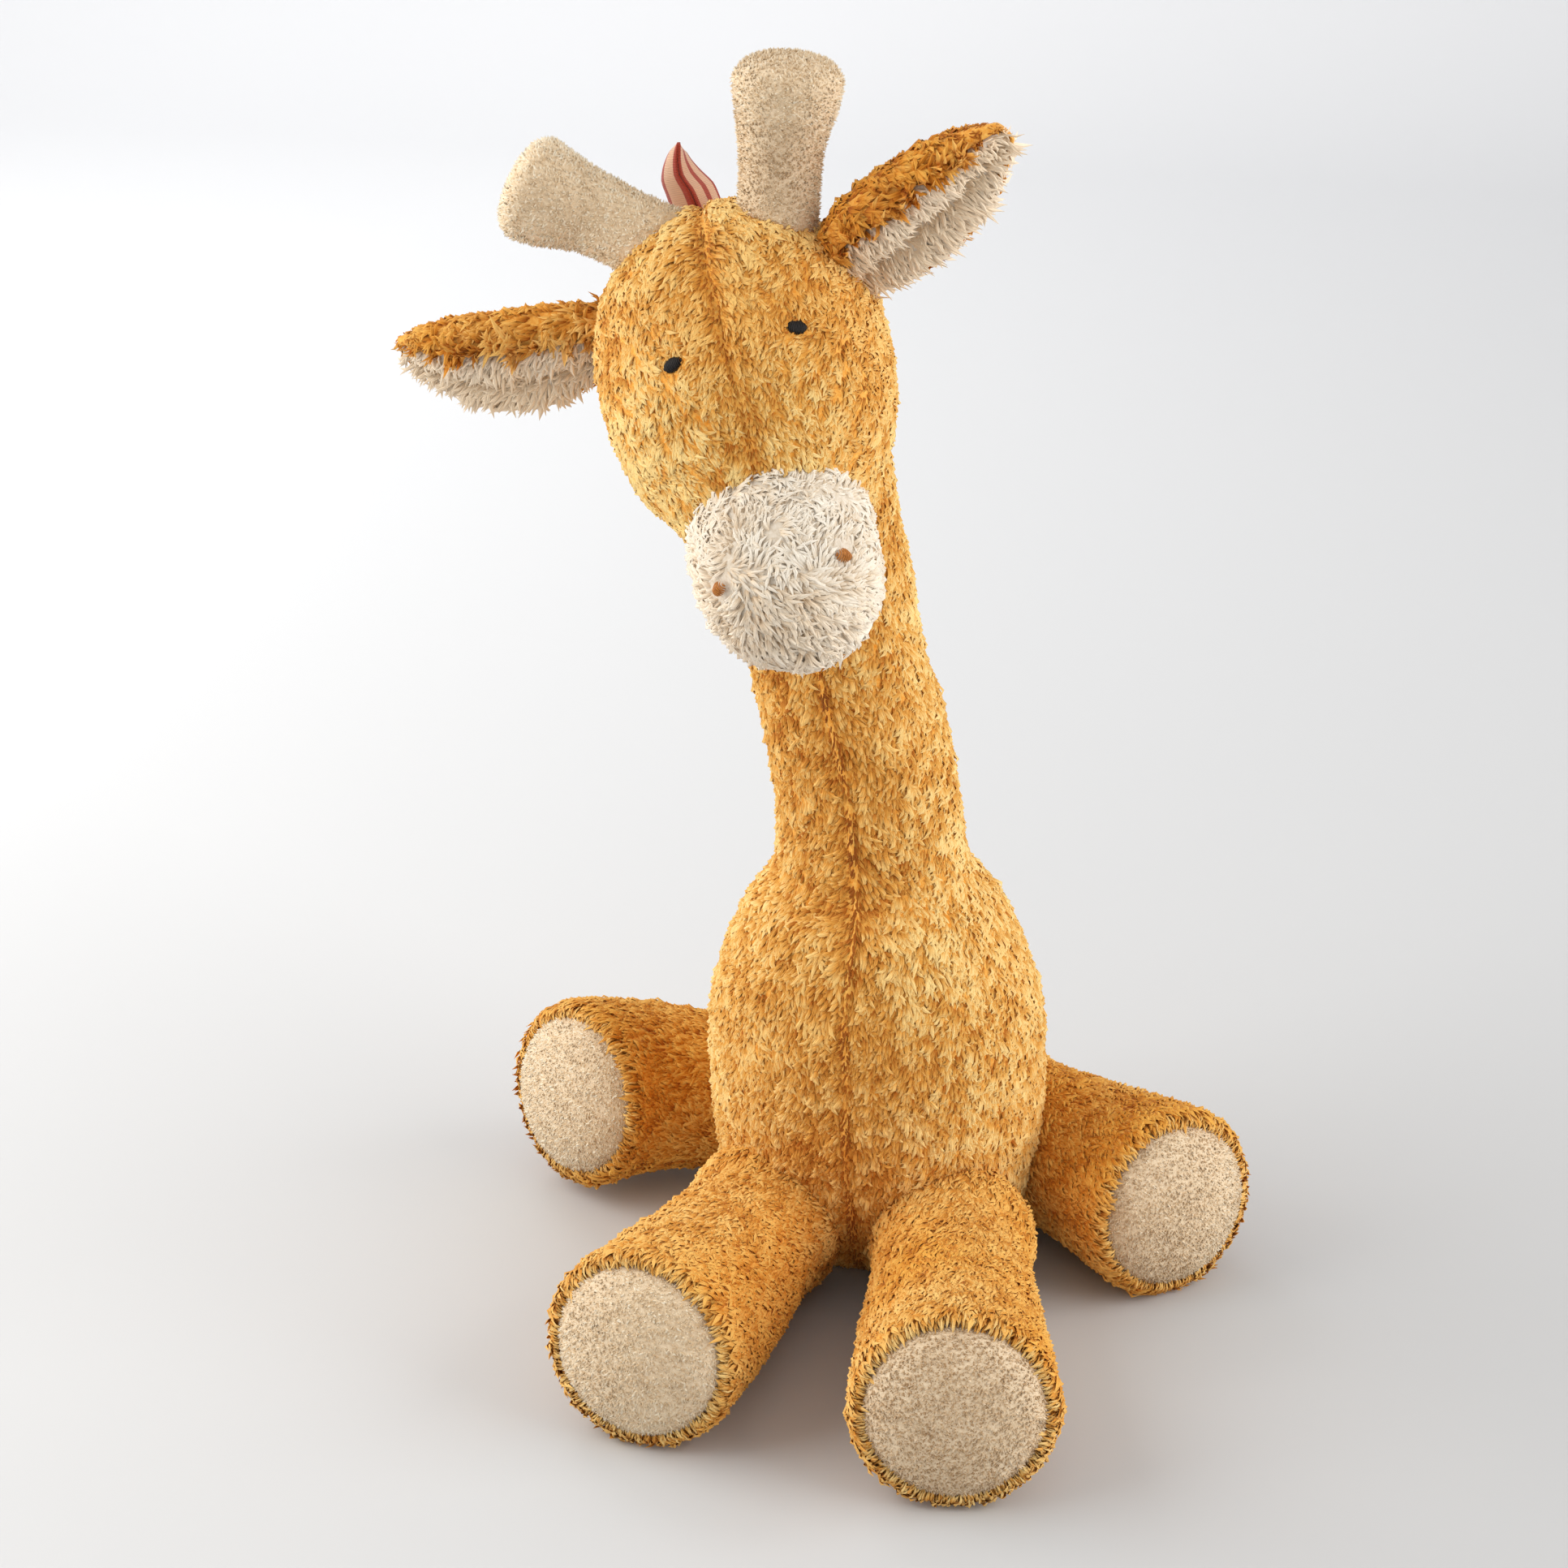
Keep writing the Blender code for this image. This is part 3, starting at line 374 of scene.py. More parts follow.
def makePileTree():
    # Locks spread over a cloth, lying along its flow with drifting swirls and leaning together into tufts.
    tree, given, result = newTree("pileTree", "GeometryNodeTree", {
        "Geometry": ["Geometry"], "Collection": ["Locks"], "Material": ["Finish"], "Int": ["Seed"],
        "Float": ["Per Area", "Length", *tufting]}, {"Geometry": ["Geometry"]})
    spread = newNode(tree, "GeometryNodeDistributePointsOnFaces", {
        "Mesh": given["Geometry"], "Density Max": given["Per Area"], "Distance Min": given["Spacing"],
        "Seed": given["Seed"], "Density Factor": fieldNode(tree, "cover")}, distribute_method="POISSON")
    place = newNode(tree, "GeometryNodeInputPosition").outputs[0]
    drift = newNode(tree, "ShaderNodeTexNoise", {
        "Vector": place, "Scale": given["Swirl Scale"], "Detail": 1.5, "Roughness": 0.5}).outputs[0]
    swirl = mathNode(tree, "MULTIPLY", mathNode(tree, "MULTIPLY_ADD", drift, 2.6, -1.3), given["Swirl"])
    turn = mathNode(tree, "MULTIPLY_ADD", randomNode(tree, -1.0, 1.0, 11), given["Jitter"], swirl)
    # Locks beside a seam stay combed away from it.
    free = mathNode(tree, "SUBTRACT", 1.0, fieldNode(tree, "combed"))
    turned = newNode(tree, "ShaderNodeVectorRotate", {
        "Vector": fieldNode(tree, "flow", "FLOAT_VECTOR"), "Axis": (spread, "Normal"),
        "Angle": mathNode(tree, "MULTIPLY", turn, free)}, rotation_type="AXIS_ANGLE").outputs[0]
    cells = newNode(tree, "ShaderNodeTexVoronoi", {"Vector": place, "Scale": given["Clump Scale"]})
    pull = mathNode(tree, "MULTIPLY", mathNode(tree, "DIVIDE", given["Clump"], given["Length"]), free)
    toCentre = vectorNode(tree, "SUBTRACT", (cells, "Position"), place)
    pulled = newNode(tree, "ShaderNodeVectorMath", {0: toCentre, "Scale": pull}, operation="SCALE").outputs[0]
    facing = newNode(tree, "FunctionNodeAxesToRotation", {0: (spread, "Normal"), 1: vectorNode(
        tree, "ADD", turned, pulled)}, primary_axis="Z", secondary_axis="Y").outputs[0]
    lift = mathNode(tree, "MULTIPLY", randomNode(tree, -1.0, 1.0, 23), given["Lift Jitter"])
    bent = newNode(tree, "FunctionNodeEulerToRotation", {
        0: newNode(tree, "ShaderNodeCombineXYZ", {0: lift}).outputs[0]}).outputs[0]
    rotated = newNode(tree, "FunctionNodeRotateRotation", {0: facing, 1: bent},
                      rotation_space="LOCAL").outputs[0]
    longer = mathNode(tree, "MULTIPLY_ADD", randomNode(tree, -1.0, 1.0, 37), given["Length Spread"], 1.0)
    # The middle of a tuft stands longer and lighter than its rim; the darker rim is painted shade between
    # tufts.
    fromMiddle = mathNode(tree, "SUBTRACT", (cells, "Distance"), 0.5)
    size = mathNode(tree, "MULTIPLY", mathNode(tree, "MULTIPLY", longer, given["Length"]),
                    mathNode(tree, "MULTIPLY_ADD", fromMiddle, -0.45, 1.0))
    size = mathNode(tree, "MULTIPLY", size, fieldNode(tree, "lockScale"))
    shapes = newNode(tree, "GeometryNodeCollectionInfo", {
        "Collection": given["Locks"], "Separate Children": True, "Reset Children": True})
    planted = newNode(tree, "GeometryNodeInstanceOnPoints", {
        "Points": (spread, "Points"), "Pick Instance": True, "Instance": (shapes, "Instances"),
        "Instance Index": randomNode(tree, 0, 99, 41, "INT"), "Rotation": rotated, "Scale": size})
    tint = newNode(tree, "ShaderNodeSeparateXYZ", {0: (cells, "Color")}).outputs[0]
    # Tone: painted shade at each tuft's rim, with a random tone for each tuft and lock.
    tone = mathNode(tree, "MULTIPLY_ADD", fromMiddle, -2.6, mathNode(tree, "MULTIPLY_ADD", tint, 1.3, -0.65))
    tone = mathNode(tree, "MULTIPLY_ADD", randomNode(tree, -1.0, 1.0, 53), 0.5, tone)
    values = {"Geometry": (planted, "Instances"), "Name": "tone", "Value": tone}
    kept = newNode(tree, "GeometryNodeStoreNamedAttribute", values, data_type="FLOAT", domain="INSTANCE")
    finishTree(tree, result, (kept, "Geometry"), given["Finish"])
    return tree


def growPile(cloth, kind, seed, tufts=None, longer=1.0, denser=1.0):
    # The locks of one cloth as corners, one lock's faces and the values of each corner.
    settings = pile[kind]
    mesh = runTree(cloth, pileTree, {
        **tufting, "Locks": settings["locks"], "Finish": finishes[settings["finish"]], "Seed": seed,
        "Per Area": float(settings["perArea"] * denser), "Length": settings["length"] * longer,
        **(tufts or {})})
    corners = settings["corners"]
    co = np.empty(len(mesh.vertices) * 3, np.float32)
    mesh.vertices.foreach_get("co", co)
    co = co.reshape(-1, corners, 3)
    faces = np.empty(len(mesh.loops), np.int32)
    mesh.loops.foreach_get("vertex_index", faces)
    layers = {}
    for key in keptPile:
        data = np.zeros(len(mesh.vertices), np.float32)
        if key in mesh.attributes:
            mesh.attributes[key].data.foreach_get("value", data)
        layers[key] = data.reshape(-1, corners)
    bpy.data.meshes.remove(mesh)
    # The floor presses the locks under the toy flat without crossing them.
    low = co[..., 2]
    floor = pressed["height"]
    sunk = floor * np.exp(np.minimum(low - floor, 0) / pressed["reach"])
    co[..., 2] = np.where(low < floor, sunk, low)
    return {"co": co, "faces": faces.reshape(-1, 3)[:settings["faces"]], "layers": layers, "kind": kind}


def settle(obj, bodyName):
    # bodyName is one body, which the piece is attached to. A pair of bodies with the points where the change
    # from one to the other starts and ends is not used: the piece stays where it is.
    if isinstance(bodyName, tuple):
        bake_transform(obj)
    else:
        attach(obj, bodyName)


def pilePiece(name, grown, bodyName, keep=None):
    # The locks picked by keep, as one mesh.
    settings = pile[grown["kind"]]
    count, corners = grown["co"].shape[:2]
    locks = np.flatnonzero(np.ones(count, bool) if keep is None else keep)
    one = grown["faces"] - grown["faces"].min()
    faces = (one[None, :, :] + np.arange(len(locks))[:, None, None] * corners).reshape(-1, 3)
    layers = {key: value[locks].ravel() for key, value in grown["layers"].items()}
    mesh = buildMesh(name, grown["co"][locks].reshape(-1, 3), faces, layers)
    mesh.materials.append(finishes[settings["finish"]])
    print("pile", name, len(locks), "locks", len(faces), "triangles")
    settle(addObject(name, mesh), bodyName)


def dress(name, kind, bodyName, nodes, grid, layers):
    # A stuffed cloth for that kind of pile, in place of those nodes.
    cloth = loft(name, grid, layers)
    cloth.data.materials.append(finishes[pile[kind]["backing"]])
    settle(cloth, bodyName)
    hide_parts(*nodes)
    return cloth


# Finishes. Constants are on the shader itself, and what several finishes share is in a group.
# The warm colours are darker, warmer copies; beside the chest seam, on the pads and on the right horn they
# serve as painted shade.
finishColours = {
    "plushPile": {"Deep": (182, 104, 24), "Middle": (228, 168, 78), "Tip": (252, 218, 146),
                  "Warm Deep": (160, 82, 14), "Warm Middle": (214, 136, 38), "Warm Tip": (240, 178, 80),
                  "Patch Scale": 38.0, "Strands": 2.6, "Variety": 0.29, "sheen": 0.3, "bump": 0.35},
    "creamPile": {"Deep": (206, 176, 140), "Middle": (237, 219, 194), "Tip": (250, 241, 226),
                  "Warm Deep": (192, 150, 106), "Warm Middle": (230, 202, 166), "Warm Tip": (250, 227, 196),
                  "Patch Scale": 40.0, "Strands": 2.2, "Variety": 0.19, "sheen": 0.45, "bump": 0.35},
    "velourNap": {"Deep": (222, 192, 152), "Middle": (244, 222, 188), "Tip": (253, 240, 216),
                  "Warm Deep": (178, 143, 104), "Warm Middle": (214, 183, 144), "Warm Tip": (236, 212, 180),
                  "Patch Scale": 260.0, "Strands": 0.5, "Variety": 0.4, "sheen": 0.3, "bump": 0.35},
    "plushBacking": {"Dark": (220, 138, 40), "Light": (242, 188, 96), "Scale": 900.0, "sheen": 0.1,
                     "bump": 0.5},
    "creamBacking": {"Dark": (212, 196, 174), "Light": (236, 226, 211), "Scale": 900.0, "sheen": 0.1,
                     "bump": 0.5},
    "velourCloth": {"Dark": (214, 188, 154), "Light": (242, 222, 192), "Scale": 1100.0, "sheen": 0.2,
                    "bump": 0.6},
}
creaseShadeColour = (0.42, 0.32, 0.22)


def newMaterial(name, constants):
    material = bpy.data.materials.new(name)
    material.use_nodes = True
    shader = next(n for n in material.node_tree.nodes if n.type == "BSDF_PRINCIPLED")
    for key, value in constants.items():
        feed(shader.inputs[key], value)
    return material, material.node_tree, shader.inputs


def emboss(tree, inputs, height, strength, depth):
    bump = newNode(tree, "ShaderNodeBump", {"Strength": strength, "Distance": depth, "Height": height})
    feed(inputs["Normal"], bump.outputs[0])


def makePileShade():
    # Dark at the roots as painted shade down in the pile, light at the tips, each lock and patch a little
    # different, fine strands along it.
    tree, given, result = newTree("pileShade", "ShaderNodeTree", {
        "Color": ["Deep", "Middle", "Tip", "Warm Deep", "Warm Middle", "Warm Tip"],
        "Float": ["Patch Scale", "Strands", "Variety"]}, {"Color": ["Color"], "Float": ["Relief"]})
    along, across, tone, warmth, seam = (attributeNode(tree, key) for key in keptPile)
    patch = noiseNode(tree, given["Patch Scale"])
    turns = mathNode(tree, "MULTIPLY", given["Strands"], math.pi)
    turned = mathNode(tree, "MULTIPLY", tone, 9.0)
    strand = mathNode(tree, "SINE", mathNode(tree, "MULTIPLY_ADD", across, turns, turned))
    height = mathNode(tree, "MULTIPLY_ADD", tone, given["Variety"], along)
    # A positive seam value darkens the colour as painted shade, a negative one lightens it as painted light.
    for value, share in ((strand, 0.09), (mathNode(tree, "SUBTRACT", patch, 0.5), 0.7), (seam, -0.4)):
        height = mathNode(tree, "MULTIPLY_ADD", value, share, height)
    height = clamped(tree, height)
    lower = clamped(tree, mathNode(tree, "MULTIPLY", height, 2.0))
    upper = clamped(tree, mathNode(tree, "MULTIPLY_ADD", height, 2.0, -1.0))
    cool, warm = (mixColour(tree, upper, mixColour(tree, lower, given[colourSet + "Deep"], given[colourSet + "Middle"]),
                            given[colourSet + "Tip"]) for colourSet in ("", "Warm "))
    # High seam values multiply the colour towards dark brown: painted shade in creases.
    creaseShade = clamped(tree, mathNode(tree, "MULTIPLY_ADD", seam, 0.5, -0.5))
    colour = mixColour(tree, clamped(tree, warmth), cool, warm)
    feed(result.inputs["Color"], mixColour(tree, creaseShade, colour, creaseShadeColour, "MULTIPLY"))
    feed(result.inputs["Relief"], strand)
    return tree


def makeClothGrain():
    # Mottled colour and a grainy relief, for woven backing and short nap.
    tree, given, result = newTree("clothGrain", "ShaderNodeTree", {
        "Color": ["Dark", "Light"], "Float": ["Scale"]}, {"Color": ["Color"], "Float": ["Relief"]})
    fine = noiseNode(tree, given["Scale"], 4.0, 0.6)
    centred = mathNode(tree, "SUBTRACT", fine, 0.5)
    share = mathNode(tree, "MULTIPLY_ADD", centred, 2.4, noiseNode(tree, 70.0, 2.0))
    feed(result.inputs["Color"], mixColour(tree, clamped(tree, share), given["Dark"], given["Light"]))
    feed(result.inputs["Relief"], fine)
    return tree


def makeFinish(name, group, roughness, sheenRoughness, depth):
    # A finish whose colour and relief come from a shared group.
    values = {key: rgb(*value) if isinstance(value, tuple) else value for key, value in finishColours[name].items()}
    bump = values.pop("bump")
    constants = {"Roughness": roughness, "Specular IOR Level": 0.2, "Sheen Weight": values.pop("sheen"),
                 "Sheen Roughness": sheenRoughness}
    if "Tip" in values:
        constants["Sheen Tint"] = values["Tip"]
    material, tree, inputs = newMaterial(name, constants)
    shade = newNode(tree, "ShaderNodeGroup", values, node_tree=group)
    feed(inputs["Base Color"], shade.outputs["Color"])
    emboss(tree, inputs, shade.outputs["Relief"], bump, depth)
    return material


print("stage: finishes, trees and locks")
pileShade = makePileShade()
clothGrain = makeClothGrain()
finishes = {name: makeFinish(name, pileShade, 0.75, 0.45, 0.0002) if "Tip" in colourSet
            else makeFinish(name, clothGrain, 0.85, 0.4, 0.0006) for name, colourSet in finishColours.items()}
pileTree = makePileTree()
for kind in pile:
    makeLocks(kind)


# Body: torso and neck as one skin with level rings. Its pile stops at the hips, so the legs are here too.
# Noises are rows of amount, scale and seed.
body = {
    "height": 0.142, "halfWidth": 0.056, "belly": 0.058, "rump": 0.061, "shift": (-0.001, -0.007),
    "torsoRows": [(0.0, 0.50, 0.36, 0), (0.018, 0.66, 0.46, 0), (0.07, 0.80, 0.62, 0), (0.17, 0.915, 0.80, 0),
                  (0.31, 0.98, 0.93, 0.05), (0.465, 1, 1, 0.20), (0.62, 0.985, 0.985, 0.50),
                  (0.75, 0.925, 0.925, 0.75), (0.85, 0.84, 0.84, 0.90), (0.93, 0.735, 0.735, 1)],
    "neckPivot": 0.131, "neckLength": 0.166, "neckLean": -0.026, "neckBack": 0.006, "neckTopForward": 0.007,
    "neckRadius": 0.030, "neckTopBall": 0.029,
    "neckRows": [(0.10, 0.04, 0.10, 1.05), (0.22, 0.12, 0.35, 1.0), (0.36, 0.30, 0.72, 1.0),
                 (0.50, 0.54, 1.0, 0.96), (0.66, 0.73, 0.95, 0.94), (0.82, 0.87, 0.35, 0.94)],
    "rings": 130, "capRings": 12, "sides": 132, "blendFrom": 0.114, "blendTo": 0.150, "seamCrowding": 0.38,
    "raise": 0.0014, "puff": [(0.0007, 38.0, 1), (0.00042, 90.0, 2)], "waver": [(0.0012, 55.0, 5)],
    "creaseDepth": 0.0016, "creaseWidth": 0.0009, "rearWidth": 0.0012, "breaks": [(1.1, 60.0, 6)],
    "lockNoise": [(0.14, 60.0, 3), (0.22, 210.0, 7)], "warm": 0.08, "warmNoise": [(0.45, 22.0, 4)],
    "paintedShadeBeside": 0.009, "paintedShadeWidth": 0.026, "fanHeight": 0.150, "headFrom": 0.318, "pileSplit": 0.118,
}
legs = {
    "hipBall": 0.0252, "root": 0.0238, "rim": 0.0305, "lip": 0.0028, "padGap": 0.0007, "padRise": 0.0135,
    "bend": 0.45, "rows": [(0, 0), (0.18, 0), (0.36, 0.25), (0.56, 0.52), (0.78, 0.78), (0.93, 0.95), (1, 1)],
    # How far each ring of the rim stands ahead of the foot, and how much its radius grows.
    "rimSteps": [(0.0012, -0.0004), (0.0019, -0.0016), (0.0016, -0.0030), (0.0002, -0.0040),
                 (-0.004, -0.0046)],
    "rings": 44, "sides": 56, "raise": 0.0010, "puff": [(0.0007, 45.0, 0), (0.00035, 110.0, 1)],
    "lockNoise": [(0.18, 70.0, 2)], "warmNoise": [(0.5, 30.0, 3)],
    "padPuff": [(0.0004, 55.0, 4)], "padWarmNoise": [(0.6, 45.0, 5)],
    "tufts": {"Swirl": 0.8, "Swirl Scale": 55.0},
    "bandTufts": {"Swirl": 0.5, "Swirl Scale": 260.0, "Jitter": 0.22, "Clump": 0.3, "Clump Scale": 400.0},
    # padPaintedShade darkens and warms the pads that face away from the soft boxes: painted shade.
    "front_left": {"hip": (-0.0305, -0.0425, 0.0270), "foot": (-0.0495, -0.1310, 0.0318), "turn": -12,
                   "tilt": 8, "warm": 0.75, "padPaintedShade": 0.25, "bandWarm": 0.1, "seed": 30},
    "front_right": {"hip": (0.0325, -0.0440, 0.0270), "foot": (0.0488, -0.1440, 0.0318), "turn": 10,
                    "tilt": 8, "warm": 0.75, "padPaintedShade": 0.95, "bandWarm": 0.1, "seed": 40},
    "rear_left": {"hip": (-0.0370, 0.0370, 0.0290), "foot": (-0.1062, 0.0135, 0.0372), "turn": -35,
                  "tilt": 10, "warm": 0.9, "padPaintedShade": 0.0, "bandWarm": 0.5, "seed": 50},
    "rear_right": {"hip": (0.0370, 0.0370, 0.0300), "foot": (0.0988, -0.0110, 0.0318), "turn": 43,
                   "tilt": 6, "warm": 0.9, "padPaintedShade": 0.6, "bandWarm": 0.5, "seed": 60},
}
legNames = ["front_left", "front_right", "rear_left", "rear_right"]


def bodyKeys():
    # Each row: height, centre, half width, and depth ahead and behind.
    centre = body["shift"]
    rows = [(body["height"] * height, centre[0] * shift, centre[1] * shift, body["halfWidth"] * width,
             body["belly"] * belly, body["rump"] * width)
            for height, width, belly, shift in body["torsoRows"]]
    for height, lean, back, radius in body["neckRows"]:
        rows.append((body["neckPivot"] + body["neckLength"] * height, centre[0] + body["neckLean"] * lean,
                     centre[1] + body["neckBack"] * back) + (body["neckRadius"] * radius,) * 3)
    rows.append((body["neckPivot"] + body["neckLength"], centre[0] + body["neckLean"],
                 centre[1] - body["neckTopForward"]) + (body["neckTopBall"],) * 3)
    return np.array(rows)


def bodyGrid(keys):
    top, ball, caps = keys[-1, 0], body["neckTopBall"], body["capRings"]
    levels = np.concatenate([[0.0002], np.linspace(0.0012, top, body["rings"] - caps - 1)])
    columns = [smoothRows(keys[:, [0, i]], levels) for i in range(1, 6)]
    angles = np.radians(np.linspace(6, 84, caps))
    levels = np.concatenate([levels, top + ball * np.sin(angles)])
    x, y = (np.concatenate([columns[i], np.full(caps, keys[-1, i + 1])])[:, None] for i in (0, 1))
    half, ahead, behind = (np.concatenate([columns[i], ball * np.cos(angles)])[:, None] for i in (2, 3, 4))
    turn = np.linspace(0, 2 * math.pi, body["sides"], endpoint=False)
    turn = turn + body["seamCrowding"] * np.sin(2 * turn)
    x = x + half * np.cos(turn)
    y = y - np.where(np.sin(turn) > 0, ahead, behind) * np.sin(turn)
    return np.stack([x, y, np.repeat(levels[:, None], body["sides"], axis=1)], -1), turn, levels


def seamSpan(grid, turn, angle):
    # Signed distance round the ring from the seam at that angle.
    offset = (turn - angle + math.pi) % (2 * math.pi) - math.pi
    return offset * size(grid - grid.mean(axis=1, keepdims=True))


def parting(distance, width, reach):
    # How far pile is combed off a seam, one way on each side.
    return np.tanh(distance / width) * np.exp(-np.abs(distance) / reach)


print("stage: body")
keys = bodyKeys()
grid, turn, levels = bodyGrid(keys)
along, around, normal = slopes(grid)
waver = wander(levels, body["waver"])
front = seamSpan(grid, turn, math.pi / 2) + waver
rear = seamSpan(grid, turn, 3 * math.pi / 2) + waver
height = grid[..., 2]
broken = np.clip(0.5 + mottle(grid, body["breaks"]), 0.1, 1)
crease = (bell(front, body["creaseWidth"]) + 0.3 * bell(rear, body["rearWidth"])) * (0.35 + 0.65 * broken)
lift = body["raise"] + mottle(grid, body["puff"]) - body["creaseDepth"] * crease
raised = grid + normal * (lift * (levels >= 0.002)[:, None])[..., None]
# The pile lies downwards, parts at the front seam and fans out where the neck meets the chest.
fan = bell(height - body["fanHeight"], 0.018) * bell(front, 0.014)
sideways = parting(front, 0.0010, 0.006) * (0.3 + 0.55 * broken) + 0.9 * fan * np.tanh(front / 0.0030)
# Painted shade on the chest beside the front seam, darker and warmer there.
paintedShadeBeside = bell(front - body["paintedShadeBeside"], body["paintedShadeWidth"])
cover = (0.35 + 0.65 * ramp(height, 0.003, 0.004)) * ramp(height, body["headFrom"], -0.006)
for legName in legNames:
    cover *= ramp(size(grid - np.array(legs[legName]["hip"])), legs["hipBall"] - 0.004, 0.002)
bend = ("torso", "neck", (0, 0, body["blendFrom"]), (0, 0, body["blendTo"]))
bodyCloth = dress("bodyCloth", "plush", bend, [
    "torso_panel_left", "torso_panel_right", "seat_panel", "torso_stuffing", "neck_panel_left",
    "neck_panel_right", "neck_stuffing"], raised, {
        "flow": unit(around * sideways[..., None] - along), "cover": cover,
        "lockScale": (1 + mottle(grid, body["lockNoise"]))
        * (1 - 0.5 * (bell(front, 0.0014) + bell(rear, 0.0016)) + 0.3 * fan),
        "warmth": np.clip(body["warm"] + 0.34 * paintedShadeBeside + mottle(grid, body["warmNoise"]), 0, 1),
        # seam: painted shade in the seam creases and beside the front seam.
        "seam": 3.0 * crease + 0.24 * paintedShadeBeside, "combed": 0.95 * bell(front, 0.005)})
grown = growPile(bodyCloth, "plush", 3)
x, _, z = grown["co"][:, 1].T
for name, keep in (("bodyPileLeft", (z < body["pileSplit"]) & (x < -0.001)),
                   ("bodyPileRight", (z < body["pileSplit"]) & (x >= -0.001)),
                   ("neckPileLeft", (z >= body["pileSplit"]) & (x < -0.012)),
                   ("neckPileRight", (z >= body["pileSplit"]) & (x >= -0.012))):
    pilePiece(name, grown, bend, keep)


# Head and muzzle: rings about the line from the skull to the snout.
head = {
    "centre": (-0.0380, -0.0365, 0.3215), "pitch": 44.5, "roll": -16, "yaw": 11, "radius": 0.0415,
    "seam": 0.0560,
    "frontRows": [(0, 1), (0.18, 1), (0.36, 0.985), (0.55, 0.935), (0.73, 0.84), (0.88, 0.725), (1, 0.625)],
    "gap": 0.0003, "muzzleRadius": 0.0268, "muzzleLength": 0.0480,
    "muzzleRows": [(0.14, 1), (0.38, 1), (0.60, 0.93), (0.79, 0.74), (0.92, 0.47), (1, 0.12)],
    "rings": 70, "capRings": 26, "sides": 112, "muzzleRings": 40, "seamCrowding": 0.36,
    "raise": 0.0014, "puff": [(0.0006, 45.0, 11), (0.00036, 100.0, 12)], "waver": [(0.0010, 60.0, 15)],
    "creaseDepth": 0.0011, "creaseWidth": 0.0010, "breaks": [(0.9, 75.0, 17)], "dentDepth": 0.0009,
    "dentWidth": 0.0042, "lockNoise": [(0.14, 70.0, 13), (0.2, 230.0, 16)], "warm": 0.16,
    "warmNoise": [(0.45, 30.0, 14)],
    "tufts": {"Swirl": 1.3, "Swirl Scale": 60.0, "Clump": 1.0, "Clump Scale": 180.0, "Lift Jitter": 0.1},
    # Eyes: ahead of the skull's middle, and degrees round. Nostrils: share of the muzzle, and degrees round.
    "eyeLeft": (0.0218, -22.5), "eyeRight": (0.0195, 30), "nostrilAhead": 0.60, "nostrilTurn": 44,
    "muzzlePuff": [(0.0007, 60.0, 21)], "muzzleSunk": 0.0004, "swirl": (-0.0109, -0.0880, 0.0233),
    "shade": (0.0, -0.0945, 0.0215), "muzzleLockNoise": [(0.12, 70.0, 23)], "muzzleWarm": 0.12,
    "muzzleWarmNoise": [(0.5, 40.0, 24)],
    "muzzleTufts": {"Swirl": 0.7, "Swirl Scale": 110.0, "Jitter": 0.3, "Clump": 1.2, "Clump Scale": 165.0,
                    "Lift Jitter": 0.14},
}
turnHead = Matrix.Identity(4)
for axis, key in (("Z", "yaw"), ("Y", "roll"), ("X", "pitch")):
    turnHead = turnHead @ Matrix.Rotation(math.radians(head[key]), 4, axis)
headPlace = np.array(Matrix.Translation(head["centre"]) @ turnHead)
headTurn = headPlace[:3, :3].T


def headGrid(stations, radii):
    # Local rings: x sideways, z to the top of the head, -y ahead.
    turn = np.linspace(0, 2 * math.pi, head["sides"], endpoint=False)
    turn = turn - head["seamCrowding"] * np.sin(2 * turn)
    y = -np.repeat(stations[:, None], head["sides"], axis=1)
    return np.stack([radii[:, None] * np.sin(turn), y, radii[:, None] * np.cos(turn)], -1), turn


def headRadius(ahead):
    return head["radius"] * smoothRows(np.array(head["frontRows"]) * (head["seam"], 1), ahead)


def fromSpot(grid, ahead, degrees, radius):
    # Distance from a stitched spot on the head or the muzzle.
    a = math.radians(degrees)
    return size(grid - np.array([radius * math.sin(a), -ahead, radius * math.cos(a)]))


print("stage: head")
angles = np.radians(np.linspace(2, 88, head["capRings"]))
ahead = np.linspace(0, head["seam"], head["rings"] - head["capRings"])
stations = np.concatenate([-head["radius"] * np.cos(angles), ahead])
grid, turn = headGrid(stations, np.concatenate([head["radius"] * np.sin(angles), headRadius(ahead)]))
along, around, normal = slopes(grid, outwards=grid)
stations = stations[:, None]
top = seamSpan(grid, turn, 0.0) + wander(stations[:, 0], head["waver"])
chin = seamSpan(grid, turn, math.pi)
broken = np.clip(0.55 + mottle(grid, head["breaks"]), 0.15, 1)
crease = bell(top, head["creaseWidth"]) * (0.3 + 0.65 * broken) + 0.5 * bell(chin, head["creaseWidth"])
dent = sum(bell(fromSpot(grid, spot, degrees, float(headRadius(spot))), head["dentWidth"])
           for spot, degrees in (head["eyeLeft"], head["eyeRight"]))
lift = head["raise"] + mottle(grid, head["puff"]) - head["creaseDepth"] * crease - head["dentDepth"] * dent
sideways = parting(top, 0.0011, 0.007) * (0.2 + 0.7 * broken)
flow = unit(along * (0.35 + 0.65 * ramp(stations, 0, 0.03))[..., None] + around * sideways[..., None])
fromNeck = size(placed(grid, headPlace) - keys[-1, [1, 2, 0]])
crown = bell(stations + 0.006, 0.022) * bell(top, 0.026)
brow = ramp(np.abs(stations - 0.016), 0.03, -0.03) * bell(top, 0.03)
